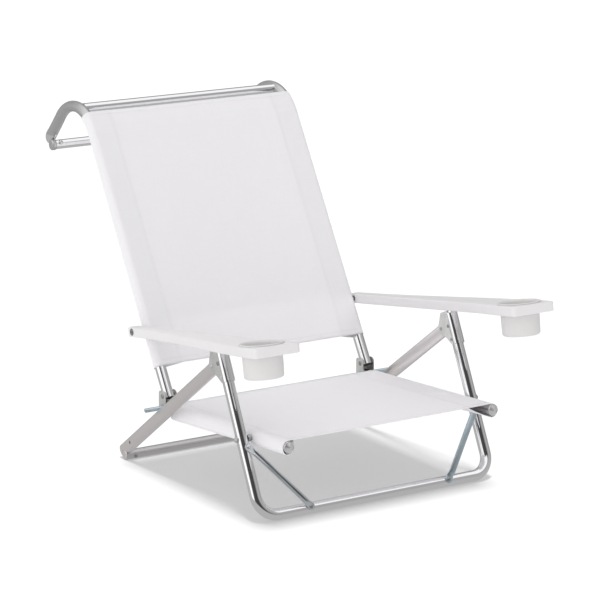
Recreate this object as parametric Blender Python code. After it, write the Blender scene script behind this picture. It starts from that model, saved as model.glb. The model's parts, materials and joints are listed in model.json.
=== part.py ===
# Low folding beach chair: a U-shaped front leg frame with gusset brackets, flat-oval rear legs,
# a seat frame and a hooked back frame with sling covers, and moulded armrests with cup holders.
# Z is up, -Y is the front of the chair, X is sideways. "right" is the sitter's right, the -X side.
# The origin is on the floor, at the middle of the chair's length and width.
# Drawing space is in mm, with y measured rearwards from the front floor bar's axis.
import bpy
import bmesh
from math import sin, cos, tan, pi, radians, atan2
from mathutils import Vector

for old in list(bpy.data.objects):
    bpy.data.objects.remove(old, do_unlink=True)

MM = 0.001

# ---------------------------------------------------------------- driving dimensions (mm)
Y_ORIGIN = 435.36       # distance from the front floor bar's axis to the origin plane

TUBE_R = 12.7           # main tubes, 25.4 mm outside diameter
BAR_R = 11.1            # cross tubes, 22.2 mm outside diameter
TUBE_WALL = 1.6
SIDES = 16              # facets round a tube
FIT = 0.3               # gap between neighbouring pieces
FLOOR_Z = TUBE_R * cos(pi / SIDES)   # axis height of a tube that rests on one facet

LEG_X = 304.0           # front and rear leg planes, from the middle
LEG_DEG = 64.78         # front leg's angle from the floor
SEAT_X = 267.5          # seat rail planes
BACK_X = 268.5          # back rail planes

# joint axes (y, z)
SEAT_PIVOT = (73.6, 169.0)
ARM_PIVOT = (146.0, 322.0)
BACK_PIVOT = (443.0, 174.8)
ARM_REAR = (520.5, 312.0)    # bolt between the back rail and the armrest
REAR_PIVOT = (173.0, 310.0)
CROSS_ROD = (440.5, 149.5)   # rod through the rear of the seat rails

SEAT_DEG = -3.33        # seat rails drop towards the rear
BACK_DEG = 59.6
REAR_DEG = -35.4        # rear legs drop towards the rear
ARM_DEG = 8.78          # armrests rise to the front
ARM_UNDER = (530.0, 298.6)   # a point (y, z) on the armrest's underside plane

# fasteners
RIVET_R = 3.0
PIN_R = 4.0
REAR_PIN_R = 3.5
SCREW_R = 2.2
RIVET_HOLE_R = RIVET_R + FIT
PIN_HOLE_R = PIN_R + FIT
BOLT_HOLE_R = 4.35      # looser hole for a pin or bolt through a tube
SCREW_HOLE_R = 2.6
HOLE_REACH = 20.0       # a cutter's reach either side of a tube's axis

BAR_CLEAR_R = BAR_R + FIT + 0.1    # cutter that clears a crossbar
PLUG_GAP = 0.4                     # plug to tube bore
TUBE_PLUG_R = TUBE_R - TUBE_WALL - PLUG_GAP
BAR_PLUG_R = BAR_R - TUBE_WALL - PLUG_GAP

# ---------------------------------------------------------------- finishes
# base colour, metallic, roughness
FINISH = {
    "polished_aluminium": ((0.86, 0.86, 0.88), 1.0, 0.16),
    "satin_aluminium": ((0.56, 0.54, 0.52), 1.0, 0.38),
    "bracket_aluminium": ((0.52, 0.53, 0.50), 1.0, 0.45),
    "zinc": ((0.52, 0.60, 0.66), 1.0, 0.35),
    "rivet_steel": ((0.40, 0.40, 0.40), 1.0, 0.35),
    "white_cloth": ((0.83, 0.81, 0.84), 0.0, 0.85),
    "white_plastic": ((0.86, 0.85, 0.84), 0.0, 0.45),
    "black_plug": ((0.03, 0.03, 0.03), 0.0, 0.5),
}


def material(name, finish):
    colour, metallic, roughness = FINISH[finish]
    mat = bpy.data.materials.new(name + "_finish")
    mat.use_nodes = True
    shader = next(n for n in mat.node_tree.nodes if n.type == 'BSDF_PRINCIPLED')
    shader.inputs["Base Color"].default_value = (*colour, 1.0)
    shader.inputs["Metallic"].default_value = metallic
    shader.inputs["Roughness"].default_value = roughness
    return mat


# ---------------------------------------------------------------- joint axes
def to_world(x, y, z):
    return Vector((x * MM, (y - Y_ORIGIN) * MM, z * MM))


def axis_empty(name, yz):
    empty = bpy.data.objects.new(name, None)
    empty.empty_display_size = 0.05
    empty.location = to_world(0, *yz)
    bpy.context.scene.collection.objects.link(empty)
    return empty


AXES = {name: axis_empty(name, yz) for name, yz in (
    ("legs_frame", (0.0, FLOOR_Z)),
    ("seat_axis", SEAT_PIVOT),
    ("back_axis", BACK_PIVOT),
    ("arm_axis", ARM_PIVOT),
    ("rear_leg_axis", REAR_PIVOT),
)}


# ---------------------------------------------------------------- meshes and objects
def finish_mesh(bm):
    bmesh.ops.remove_doubles(bm, verts=bm.verts, dist=1e-7)
    bmesh.ops.triangulate(bm, faces=[f for f in bm.faces if len(f.verts) > 4])
    bmesh.ops.recalc_face_normals(bm, faces=bm.faces)


def mesh_object(name, bm):
    """Turn a bmesh into a linked object; the bmesh is freed."""
    mesh = bpy.data.meshes.new(name)
    bm.to_mesh(mesh)
    bm.free()
    ob = bpy.data.objects.new(name, mesh)
    bpy.context.scene.collection.objects.link(ob)
    return ob


def piece(name, bm, axis, finish, smooth_deg=40.0):
    """A named piece whose origin is on its body's joint axis. bm is in drawing space."""
    finish_mesh(bm)
    origin = AXES[axis].location
    for v in bm.verts:
        v.co = to_world(*v.co) - origin
    ob = mesh_object(name, bm)
    ob.data.shade_smooth()
    ob.data.set_sharp_from_angle(angle=radians(smooth_deg))
    ob.data.materials.append(material(name, finish))
    ob.parent = AXES[axis]


def helper(bm):
    """A temporary solid in drawing space, used for booleans."""
    finish_mesh(bm)
    return mesh_object("helper", bm)


def combine(bm, cutters, operation='DIFFERENCE'):
    """Boolean a bmesh with cutter bmeshes, one after another, and give back the new bmesh."""
    base = helper(bm)
    cutter_objects = []
    for cutter in cutters:
        ob = helper(cutter)
        ob.hide_render = True
        ob.display_type = 'WIRE'
        cutter_objects.append(ob)
        mod = base.modifiers.new("cut", 'BOOLEAN')
        mod.operation = operation
        mod.solver = 'EXACT'
        mod.object = ob
    depsgraph = bpy.context.evaluated_depsgraph_get()
    depsgraph.update()
    result = bpy.data.meshes.new_from_object(base.evaluated_get(depsgraph))
    out = bmesh.new()
    out.from_mesh(result)
    for ob in [base] + cutter_objects:
        mesh = ob.data
        bpy.data.objects.remove(ob, do_unlink=True)
        bpy.data.meshes.remove(mesh)
    bpy.data.meshes.remove(result)
    bmesh.ops.remove_doubles(out, verts=out.verts, dist=0.002)
    bmesh.ops.dissolve_degenerate(out, edges=out.edges, dist=0.001)
    return out


# ---------------------------------------------------------------- shape tools
def at(x, yz):
    return Vector((x, yz[0], yz[1]))


def direction(deg):
    return (cos(radians(deg)), sin(radians(deg)))


def bridge(bm, a, b):
    """Quads between two rings of the same length."""
    for i in range(len(a)):
        j = (i + 1) % len(a)
        bm.faces.new((a[i], a[j], b[j], b[i]))


def loft(rings):
    """A capped solid through rings of points."""
    bm = bmesh.new()
    rings = [[bm.verts.new(p) for p in ring] for ring in rings]
    for a, b in zip(rings, rings[1:]):
        bridge(bm, a, b)
    bm.faces.new(list(reversed(rings[0])))
    bm.faces.new(rings[-1])
    return bm


def prism(outline, x0, x1):
    """A (y, z) outline extruded along X."""
    return loft([[(x, y, z) for y, z in outline] for x in (x0, x1)])


def circle(r, phase):
    angles = [2 * pi * (i + phase) / SIDES for i in range(SIDES)]
    return [(r * cos(a), r * sin(a)) for a in angles]


def stadium(height, thick):
    """Flat-oval section: height along the first axis, thickness along the second."""
    steps = 5
    r = thick / 2
    c = height / 2 - r
    points = []
    for side, start in ((1, -pi / 2), (-1, pi / 2)):
        for i in range(steps + 1):
            a = start + pi * i / steps
            points.append((side * c + r * cos(a), r * sin(a)))
    return points


def sweep(path, across, outer, inner):
    """An open-ended tube: outer and inner sections mitred along a path.

    The section's second axis is across, its first axis is square to that and to the path."""
    path = [Vector(p) for p in path]
    across = Vector(across).normalized()
    steps = [(b - a).normalized() for a, b in zip(path, path[1:])]
    frames = []
    for i, p in enumerate(path):
        before = steps[max(i - 1, 0)]
        after = steps[min(i, len(steps) - 1)]
        tangent = (before + after).normalized()
        first = across.cross(tangent).normalized()
        frames.append((p, first * (1.0 / tangent.dot(after))))
    bm = bmesh.new()

    def rings(section):
        return [[bm.verts.new(p + first * a + across * b) for a, b in section]
                for p, first in frames]

    out_rings = rings(outer)
    in_rings = rings(inner)
    for a, b in zip(out_rings, out_rings[1:]):
        bridge(bm, a, b)
    for a, b in zip(in_rings, in_rings[1:]):
        bridge(bm, b, a)
    bridge(bm, in_rings[0], out_rings[0])
    bridge(bm, out_rings[-1], in_rings[-1])
    return bm


def tube(path, across, radius, phase=0.5):
    return sweep(path, across, circle(radius, phase), circle(radius - TUBE_WALL, phase))


def crossbar(half, yz):
    """A cross tube from -half to half, with a facet straight down."""
    return tube([at(-half, yz), at(half, yz)], (0, 0, 1), BAR_R)


def turned(profile, origin, axis, sides=12, phase=0.0):
    """Spin (distance along axis, radius) points about an axis through origin.

    The profile starts and ends at radius 0."""
    axis = Vector(axis).normalized()
    ref = Vector((0, 0, 1)) if abs(axis.z) < 0.9 else Vector((0, 1, 0))
    u = axis.cross(ref).normalized()
    w = axis.cross(u).normalized()
    origin = Vector(origin)
    bm = bmesh.new()
    rings = []
    for distance, r in profile:
        centre = origin + axis * distance
        if r < 1e-6:
            rings.append([bm.verts.new(centre)])
            continue
        angles = [2 * pi * (i + phase) / sides for i in range(sides)]
        rings.append([bm.verts.new(centre + (u * cos(a) + w * sin(a)) * r) for a in angles])
    for a, b in zip(rings, rings[1:]):
        if len(a) > 1 and len(b) > 1:
            bridge(bm, a, b)
            continue
        for i in range(sides):
            j = (i + 1) % sides
            if len(a) == 1:
                bm.faces.new((a[0], b[j], b[i]))
            else:
                bm.faces.new((a[i], a[j], b[0]))
    return bm


def rod(start, end, r, sides=12, phase=0.0):
    length = (end - start).length
    return turned([(0, 0), (0, r), (length, r), (length, 0)], start, end - start, sides, phase)


def hole_across(x, reach, yz, r, sides=12, phase=0.0):
    """A cutter along X from x - reach to x + reach."""
    return rod(at(x - reach, yz), at(x + reach, yz), r, sides, phase)


def headed(start, end, r, head, tail=None, sides=12):
    """A fastener between two under-head faces. The domed head is outside start, and the
    optional domed tail outside end; each is (radius, thickness)."""
    length = (end - start).length
    head_r, head_t = head
    profile = [(-head_t, 0), (-head_t, head_r * 0.55), (-head_t * 0.45, head_r * 0.93),
               (0, head_r), (0, r), (length, r)]
    if tail:
        tail_r, tail_t = tail
        profile += [(length, tail_r), (length + tail_t * 0.45, tail_r * 0.93),
                    (length + tail_t, tail_r * 0.55), (length + tail_t, 0)]
    else:
        profile += [(length, 0)]
    return turned(profile, start, end - start, sides)


def bar_screw_hole(centre, outward):
    return rod(centre, centre + outward * 16, SCREW_HOLE_R, 8)


def bar_screw(centre, outward, head_r):
    """A screw into a crossbar, its head on the side that outward points to."""
    under_head = centre + outward * (BAR_R + FIT)
    return headed(under_head, under_head - outward * 9, SCREW_R, (head_r, 2.0), sides=10)


def rounded(corners):
    """Round the corners of an outline given as (first, second, corner radius)."""
    steps = 3
    points = [corner[:2] for corner in corners]
    out = []
    for i, (first, second, r) in enumerate(corners):
        p = Vector((first, second))
        to_last = Vector(points[i - 1]) - p
        to_next = Vector(points[(i + 1) % len(points)]) - p
        if r <= 0:
            out.append(tuple(p))
            continue
        half = to_last.angle(to_next) / 2
        setback = min(r / tan(half), to_last.length * 0.49, to_next.length * 0.49)
        r = setback * tan(half)
        bisector = (to_last.normalized() + to_next.normalized()).normalized()
        centre = p + bisector * (r / sin(half))
        start = p + to_last.normalized() * setback - centre
        end = p + to_next.normalized() * setback - centre
        start_angle = atan2(start.y, start.x)
        turn = (atan2(end.y, end.x) - start_angle + pi) % (2 * pi) - pi
        for k in range(steps + 1):
            a = start_angle + turn * k / steps
            out.append((centre.x + r * cos(a), centre.y + r * sin(a)))
    return out


# ---------------------------------------------------------------- front leg frame (fixed body)
LEG_BEND = 46.0         # bend radius of the front frame's bottom corners
LEG_TOP = 333.0         # end of the leg tube, along the leg from the floor bar
GUSSET_RIVET_ALONG = 311.0

LEG_U = direction(LEG_DEG)                       # up the front leg
LEG_M = (LEG_U[1], -LEG_U[0])                    # behind the front leg
LEG_FRONT = Vector((0, -LEG_U[1], LEG_U[0]))     # square to the plane of the U, to the front


def leg_point(along, behind=0.0):
    """(y, z) at a distance up the front leg and behind its axis."""
    return (LEG_U[0] * along + LEG_M[0] * behind,
            FLOOR_Z + LEG_U[1] * along + LEG_M[1] * behind)


GUSSET_RIVET = leg_point(GUSSET_RIVET_ALONG)

# brace struts lie in front of the U, on a plane parallel to it
STRUT_LIFT = 1.3              # from the tube's front to the strut's reference plane
STRUT_UP = (300.0, 150.0)     # upper rivet: x, and z of the leg's axis there
STRUT_LOW = (182.0, 2.0)      # lower rivet: x, and distance up from the floor bar's axis


def strut_rivet_points(sign):
    """Upper and lower rivet places on the strut's reference plane."""
    lift = LEG_FRONT * (TUBE_R + STRUT_LIFT)
    up_along = (STRUT_UP[1] - FLOOR_Z) / LEG_U[1]
    up = at(sign * STRUT_UP[0], leg_point(up_along)) + lift
    low = at(sign * STRUT_LOW[0], leg_point(STRUT_LOW[1])) + lift
    return up, low


def front_leg_frame():
    """One tube: down the right leg, round two bends with the floor bar between, up the left."""
    bend_steps = 6
    half = [(LEG_X, LEG_TOP)]        # |x| and distance up the leg, from the top down
    for i in range(bend_steps + 1):
        a = (pi / 2) * i / bend_steps
        half.append(((LEG_X - LEG_BEND) + LEG_BEND * cos(a), LEG_BEND - LEG_BEND * sin(a)))
    path = [at(-x, leg_point(along)) for x, along in half]
    path += [at(x, leg_point(along)) for x, along in reversed(half)]
    # turn the section so that one facet of the floor bar faces straight down
    down = Vector((0, 0, -1))
    bar_u = LEG_FRONT.cross(Vector((1, 0, 0)))
    turn = atan2(down.dot(LEG_FRONT), down.dot(bar_u))
    bm = tube(path, LEG_FRONT, TUBE_R, (turn / (2 * pi / SIDES)) + 0.5)
    holes = []
    for sign in (-1, 1):
        x, reach = sign * LEG_X, sign * HOLE_REACH
        holes.append(hole_across(x, reach, SEAT_PIVOT, BOLT_HOLE_R))
        holes.append(hole_across(x, reach, GUSSET_RIVET, RIVET_HOLE_R, 10))
    for sign in (-1, 1):
        for p in strut_rivet_points(sign):
            holes.append(rod(p + LEG_FRONT * 4, p - LEG_FRONT * 14, SCREW_HOLE_R, 8))
    piece("front_leg_frame", combine(bm, holes), "legs_frame", "polished_aluminium")


# ---------------------------------------------------------------- gusset brackets
GUSSET_IN = TUBE_R + 0.5      # half width inside the U
GUSSET_T = 2.0
GUSSET_ARM = 52.0             # reach of the uncut U behind the leg's axis
GUSSET_SPAN = (280.0, 372.0)  # ends of the uncut U, along the leg
# side outline: along the leg, behind its axis, corner radius
GUSSET_OUTLINE = [(299.5, -20, 0), (299.5, 2.5, 5), (321.0, 19.0, 11), (333.5, 39.0, 9),
                  (352.0, 39.0, 8), (371.0, 15.0, 3), (371.0, -20, 0)]
# name, axis, shank radius, head and tail (radius, thickness), sides
GUSSET_FASTENERS = [
    ("gusset_rivet_", GUSSET_RIVET, RIVET_R, (4.6, 1.6), (4.2, 1.1), 10),
    ("armrest_pin_", ARM_PIVOT, PIN_R, (5.2, 1.8), (4.8, 1.2), 12),
    ("rear_leg_pin_", REAR_PIVOT, REAR_PIN_R, (5.0, 1.8), (4.8, 1.2), 12),
]


def gusset_nose(r, corner):
    """The front of the U: two rounded corners, as (across, behind the leg)."""
    points = []
    for x, start in ((-r + corner, pi), (r - corner, 1.5 * pi)):
        for k in range(5):
            a = start + pi / 2 * k / 4
            points.append((x + corner * cos(a), -r + corner + corner * sin(a)))
    return points


def gusset_bracket(sign, side):
    """A U channel round the front of the leg, trimmed to the side outline."""
    inner, outer = GUSSET_IN, GUSSET_IN + GUSSET_T
    section = [(-inner, GUSSET_ARM), (-outer, GUSSET_ARM)] + gusset_nose(outer, 8.0)
    section += [(outer, GUSSET_ARM), (inner, GUSSET_ARM)] + gusset_nose(inner, 6.0)[::-1]
    x = sign * LEG_X
    channel = loft([[at(x + across, leg_point(along, behind)) for across, behind in section]
                    for along in GUSSET_SPAN])
    outline = rounded([(*leg_point(along, behind), r) for along, behind, r in GUSSET_OUTLINE])
    bm = combine(channel, [prism(outline, x - 30, x + 30)], 'INTERSECT')
    reach = sign * 24
    holes = [hole_across(x, reach, ARM_PIVOT, PIN_HOLE_R),
             hole_across(x, reach, REAR_PIVOT, REAR_PIN_R + FIT),
             hole_across(x, reach, GUSSET_RIVET, RIVET_HOLE_R, 10)]
    piece("gusset_bracket_" + side, combine(bm, holes), "legs_frame", "bracket_aluminium")


def gusset_fasteners(sign, side):
    out_x = sign * (LEG_X + GUSSET_IN + GUSSET_T + FIT)
    in_x = sign * (LEG_X - GUSSET_IN - GUSSET_T - FIT)
    for name, yz, r, head, tail, sides in GUSSET_FASTENERS:
        piece(name + side, headed(at(out_x, yz), at(in_x, yz), r, head, tail, sides),
              "legs_frame", "rivet_steel")


# ---------------------------------------------------------------- seat pivot
NUT_R = 6.2
NUT_FLANGE_R = 7.0
NUT_T = 5.2
SPACER_R = 7.6
SPACER_GAP = 2.2        # between the spacer and the seat rail


def seat_pivot(sign, side):
    """A bolt through the leg and the seat rail, a nut outside and a spacer between them."""
    bolt = headed(at(sign * (SEAT_X - TUBE_R - FIT), SEAT_PIVOT),
                  at(sign * (LEG_X + TUBE_R + 6.4), SEAT_PIVOT), PIN_R, (7.0, 3.2))
    piece("seat_pivot_bolt_" + side, bolt, "legs_frame", "rivet_steel")

    nut_x = LEG_X + TUBE_R + FIT
    nut = turned([(0, 0), (0, NUT_FLANGE_R), (0.9, NUT_FLANGE_R), (0.95, NUT_R),
                  (4.4, NUT_R), (NUT_T, 5.4), (NUT_T, 0)],
                 at(sign * nut_x, SEAT_PIVOT), (sign, 0, 0))
    nut_hole = rod(at(sign * (nut_x - 4), SEAT_PIVOT), at(sign * (nut_x + 12), SEAT_PIVOT),
                   BOLT_HOLE_R)
    piece("seat_pivot_nut_" + side, combine(nut, [nut_hole]), "legs_frame", "rivet_steel")

    x0, x1 = SEAT_X + TUBE_R + SPACER_GAP, LEG_X - TUBE_R - FIT
    spacer = rod(at(sign * x0, SEAT_PIVOT), at(sign * x1, SEAT_PIVOT), SPACER_R)
    spacer_hole = rod(at(sign * (x0 - 4), SEAT_PIVOT), at(sign * (x1 + 4), SEAT_PIVOT),
                      BOLT_HOLE_R)
    piece("seat_pivot_spacer_" + side, combine(spacer, [spacer_hole]),
          "legs_frame", "rivet_steel")


# ---------------------------------------------------------------- brace struts
STRUT_T = 1.2
STRUT_BASE = 0.35       # height of the strut's back in its section
TAB_LIP = 0.15          # flange height at the flattened ends
# distance from the rivet towards the middle, half width, flange height
STRUT_STATIONS = [(-8.0, 5.0, TAB_LIP), (-5.5, 8.2, TAB_LIP), (0.0, 9.2, TAB_LIP),
                  (14.0, 7.2, TAB_LIP), (20.0, 6.4, 4.2)]


def brace_strut(sign, side):
    """A channel open to the front, with flattened ends riveted to the leg frame."""
    up, low = strut_rivet_points(sign)
    along = low - up
    length = along.length
    along.normalize()
    across = LEG_FRONT.cross(along).normalized()
    stations = STRUT_STATIONS + [(length - t, half, flange)
                                 for t, half, flange in reversed(STRUT_STATIONS)]
    rings = []
    for t, half, flange in stations:
        centre = up + along * t
        floor = STRUT_BASE + STRUT_T
        top = floor + flange
        web = half - STRUT_T
        section = [(-half, STRUT_BASE), (half, STRUT_BASE), (half, top), (web, top),
                   (web, floor), (-web, floor), (-web, top), (-half, top)]
        rings.append([centre + across * a + LEG_FRONT * (b - STRUT_LIFT + FIT)
                      for a, b in section])
    bm = loft(rings)
    bmesh.ops.triangulate(bm, faces=bm.faces)
    holes = [rod(p + LEG_FRONT * 8, p - LEG_FRONT * 8, SCREW_HOLE_R, 8) for p in (up, low)]
    piece("brace_strut_" + side, combine(bm, holes), "legs_frame", "zinc")

    for place, p in (("upper", up), ("lower", low)):
        lift = STRUT_BASE + STRUT_T + TAB_LIP - STRUT_LIFT + 2 * FIT
        base = p + LEG_FRONT * lift
        piece("strut_rivet_%s_%s" % (place, side),
              headed(base, base - LEG_FRONT * 13.0, SCREW_R, (4.8, 2.2), sides=10),
              "legs_frame", "rivet_steel")


# ---------------------------------------------------------------- rear legs
REAR_H = 31.0           # flat-oval rear leg, height and thickness
REAR_T = 16.0
REAR_SPAN = (-9.0, 510.0)     # ends of the leg, along it from the pin
REAR_HOLE = (455.0, 1.0)      # hole in the outer wall: along the leg, above its axis
REAR_BAR = (569.5, BAR_R * cos(pi / SIDES))   # the bar rests on one facet
REAR_BAR_HALF = LEG_X + 7.5
REAR_SCREW_X = LEG_X - 16.0
REAR_SCREW_OUT = Vector((0, -0.94, -0.342))   # towards the screw's head, front and down

REAR_U = direction(REAR_DEG)
REAR_N = (-REAR_U[1], REAR_U[0])


def rear_point(along, up=0.0):
    """(y, z) at a distance along the rear leg from its pin, raised square to the leg."""
    return (REAR_PIVOT[0] + REAR_U[0] * along + REAR_N[0] * up,
            REAR_PIVOT[1] + REAR_U[1] * along + REAR_N[1] * up)


def rear_leg(sign, side):
    """A flat-oval tube hinged on the gusset, cut away near its foot for the floor bar."""
    x = sign * LEG_X
    bm = sweep([at(x, rear_point(along)) for along in REAR_SPAN], (sign, 0, 0),
               stadium(REAR_H, REAR_T),
               stadium(REAR_H - 2 * TUBE_WALL, REAR_T - 2 * TUBE_WALL))
    wall_hole = rear_point(*REAR_HOLE)
    cutters = [hole_across(x, HOLE_REACH, REAR_BAR, BAR_CLEAR_R, SIDES, 0.5),
               hole_across(x, HOLE_REACH, REAR_PIVOT, 3.85),
               rod(at(x + sign * 2, wall_hole), at(x + sign * 20, wall_hole), 3.4, 10)]
    piece("rear_leg_" + side, combine(bm, cutters), "rear_leg_axis", "satin_aluminium")


def rear_floor_bar():
    holes = [bar_screw_hole(at(sign * REAR_SCREW_X, REAR_BAR), REAR_SCREW_OUT)
             for sign in (-1, 1)]
    piece("rear_floor_bar", combine(crossbar(REAR_BAR_HALF, REAR_BAR), holes),
          "rear_leg_axis", "satin_aluminium")


def rear_bar_fittings(sign, side):
    screw = bar_screw(at(sign * REAR_SCREW_X, REAR_BAR), REAR_SCREW_OUT, 4.6)
    piece("rear_bar_screw_" + side, screw, "rear_leg_axis", "rivet_steel")
    plug = turned([(-10, 0), (-10, BAR_PLUG_R), (0.3, BAR_PLUG_R), (0.3, BAR_R - 0.6),
                   (1.2, BAR_R - 1.8), (1.6, 0)],
                  at(sign * REAR_BAR_HALF, REAR_BAR), (sign, 0, 0), SIDES, 0.5)
    piece("rear_bar_plug_" + side, plug, "rear_leg_axis", "satin_aluminium")


# ---------------------------------------------------------------- seat frame
SEAT_FRONT = -56.0      # y of the rail's ends
SEAT_REAR = 453.5
SEAT_CLOTH = (-53.0, 411.0)   # y of the cloth's front and rear edges
ROD_R = 5.0
ROD_HALF = 331.0
ROD_CHAMFER = 1.2

SEAT_U = direction(SEAT_DEG)


def seat_point(y):
    """(y, z) on the seat rail's axis."""
    return (y, SEAT_PIVOT[1] + (y - SEAT_PIVOT[0]) * tan(radians(SEAT_DEG)))


def seat_rail(sign, side):
    """A straight rail with a plug in its front end."""
    x = sign * SEAT_X
    front, rear = at(x, seat_point(SEAT_FRONT)), at(x, seat_point(SEAT_REAR))
    holes = [hole_across(x, HOLE_REACH, SEAT_PIVOT, BOLT_HOLE_R),
             hole_across(x, HOLE_REACH, CROSS_ROD, ROD_R + FIT)]
    piece("seat_rail_" + side, combine(tube([front, rear], (1, 0, 0), TUBE_R), holes),
          "seat_axis", "polished_aluminium")
    plug = turned([(-2.2, 0), (-2.2, 6.0), (-1.4, TUBE_R - 1.0), (-0.3, TUBE_R - 0.4),
                   (-0.3, TUBE_PLUG_R), (12, TUBE_PLUG_R), (12, 0)],
                  front, (0, *SEAT_U), SIDES, 0.5)
    piece("seat_rail_plug_" + side, plug, "seat_axis", "polished_aluminium")


def seat_cross_rod():
    """A rod through the rear ends of the rails; its tips reach out over the rear legs."""
    length = 2 * ROD_HALF
    tip_r = ROD_R - ROD_CHAMFER
    profile = [(0, 0), (0, tip_r), (ROD_CHAMFER, ROD_R), (length - ROD_CHAMFER, ROD_R),
               (length, tip_r), (length, 0)]
    piece("seat_cross_rod", turned(profile, at(-ROD_HALF, CROSS_ROD), (1, 0, 0)),
          "seat_axis", "zinc")


# hinge brackets: upright U channels at the seat rails' rear ends, open to the front
HINGE_X = (SEAT_X + BACK_X) / 2
HINGE_IN = 14.2         # half width inside the U
HINGE_T = 2.0
# side outline: y, z, corner radius
HINGE_OUTLINE = [(430.5, 136.5, 7), (459.6, 136.5, 5), (459.6, 186.0, 7), (431.5, 187.5, 9)]
# cut between the cheeks (y, z): leaves a rear web below z = 169 and none above it
HINGE_CUT = [(420.0, 120.0), (457.5, 120.0), (457.5, 169.0), (470.0, 169.0),
             (470.0, 200.0), (420.0, 200.0)]


def hinge(sign, side):
    x = sign * HINGE_X
    bm = prism(rounded(HINGE_OUTLINE), x - HINGE_IN - HINGE_T, x + HINGE_IN + HINGE_T)
    cutters = [prism(HINGE_CUT, x - HINGE_IN, x + HINGE_IN),
               hole_across(x, 30, BACK_PIVOT, PIN_HOLE_R),
               hole_across(x, 30, CROSS_ROD, ROD_R + FIT)]
    piece("hinge_bracket_" + side, combine(bm, cutters), "seat_axis", "bracket_aluminium")
    reach = sign * (HINGE_IN + HINGE_T + FIT)
    pin = headed(at(x - reach, BACK_PIVOT), at(x + reach, BACK_PIVOT),
                 PIN_R, (5.6, 1.9), (5.6, 1.6))
    piece("hinge_pin_" + side, pin, "seat_axis", "rivet_steel")


# ---------------------------------------------------------------- sling covers
CLOTH_GAP = 0.35        # from the rail to the cloth
CLOTH_T = 1.5
CLOTH_LOW_DEG = 28      # where the cloth stops on a rail's outer side, from level


def cloth_section(rail_x):
    """Closed (across, up) outline of a cloth laid over two rails and flat between them."""
    steps = 5
    span = 90 - CLOTH_LOW_DEG
    left = [radians(CLOTH_LOW_DEG + span * i / steps) for i in range(steps + 1)]
    right = [radians(90 + span * i / steps) for i in range(steps + 1)]
    inner = TUBE_R + CLOTH_GAP
    outer = TUBE_R + CLOTH_GAP + CLOTH_T

    def arc(x, r, angles):
        return [(x + r * cos(a), r * sin(a)) for a in angles]

    return (arc(rail_x, outer, left) + arc(-rail_x, outer, right)
            + arc(-rail_x, inner, right[::-1]) + arc(rail_x, inner, left[::-1]))


def cloth(stations, rail_x):
    """Loft the section through stations of ((y, z), (unit y, unit z) of its up direction)."""
    section = cloth_section(rail_x)
    return loft([[(across, y + up_y * up, z + up_z * up) for across, up in section]
                 for (y, z), (up_y, up_z) in stations])


def seat_sling():
    seat_up = (-SEAT_U[1], SEAT_U[0])
    stations = [(seat_point(y), seat_up) for y in SEAT_CLOTH]
    piece("seat_sling", cloth(stations, SEAT_X), "seat_axis", "white_cloth")


# ---------------------------------------------------------------- back frame
BACK_STUB = 5.0         # tube past the hinge pin
HOOK_R = 99.0
HOOK_TOP = (852.0, 774.0)
HOOK_DEG = -50.0        # direction of the hook's free end
HOOK_END = 77.0         # straight length after the bend
HOOK_STEPS = 10
UPPER_BAR_DEG = 101.0   # place of the upper crossbar round the hook bend
CLOTH_TOP_DEG = 123.0   # place of the back cloth's top edge round the hook bend
CLOTH_LOW = 68.0        # distance from the hinge pin to the back cloth's lower edge
LOWER_BAR = (955.0, 668.5)
LOWER_BAR_HALF = BACK_X + 11.5
LOWER_SCREW_X = BACK_X - 9.0
LOWER_SCREW_OUT = Vector((0, -0.85, 0.527)).normalized()   # to the head, front and up

BACK_U = direction(BACK_DEG)
HOOK_C = (HOOK_TOP[0], HOOK_TOP[1] - HOOK_R)
HOOK_FROM = BACK_DEG + 90     # start and end angles of the bend
HOOK_TO = HOOK_DEG + 90


def hook_point(deg):
    return (HOOK_C[0] + HOOK_R * cos(radians(deg)), HOOK_C[1] + HOOK_R * sin(radians(deg)))


def back_point(along):
    """(y, z) at a distance up the back rail from the hinge pin."""
    return (BACK_PIVOT[0] + BACK_U[0] * along, BACK_PIVOT[1] + BACK_U[1] * along)


def hook_path():
    """The back rail's axis: straight up, over the bend and down behind."""
    path = [back_point(-BACK_STUB)]
    for i in range(HOOK_STEPS + 1):
        path.append(hook_point(HOOK_FROM + (HOOK_TO - HOOK_FROM) * i / HOOK_STEPS))
    end_u = direction(HOOK_DEG)
    y, z = path[-1]
    path.append((y + end_u[0] * HOOK_END, z + end_u[1] * HOOK_END))
    return path


def back_rail(sign, side):
    """A hooked rail with a plug in its lower end."""
    x = sign * BACK_X
    bm = tube([at(x, p) for p in hook_path()], (1, 0, 0), TUBE_R)
    # the last cutter keeps the hook's end clear of the lower crossbar, on its front side
    cutters = [hole_across(x, HOLE_REACH, BACK_PIVOT, BOLT_HOLE_R),
               hole_across(x, HOLE_REACH, ARM_REAR, RIVET_HOLE_R, 10),
               hole_across(x, HOLE_REACH, LOWER_BAR, BAR_CLEAR_R, SIDES, 0.5)]
    piece("back_rail_" + side, combine(bm, cutters), "back_axis", "satin_aluminium")
    plug = turned([(-1.8, 0), (-1.8, TUBE_PLUG_R - 1.5), (-0.5, TUBE_R - 1.2),
                   (-0.3, TUBE_R - 1.2), (-0.3, TUBE_PLUG_R), (0.5, TUBE_PLUG_R), (0.5, 0)],
                  at(x, back_point(-BACK_STUB)), (0, *BACK_U), SIDES, 0.5)
    piece("back_rail_plug_" + side, plug, "back_axis", "black_plug")


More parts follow.
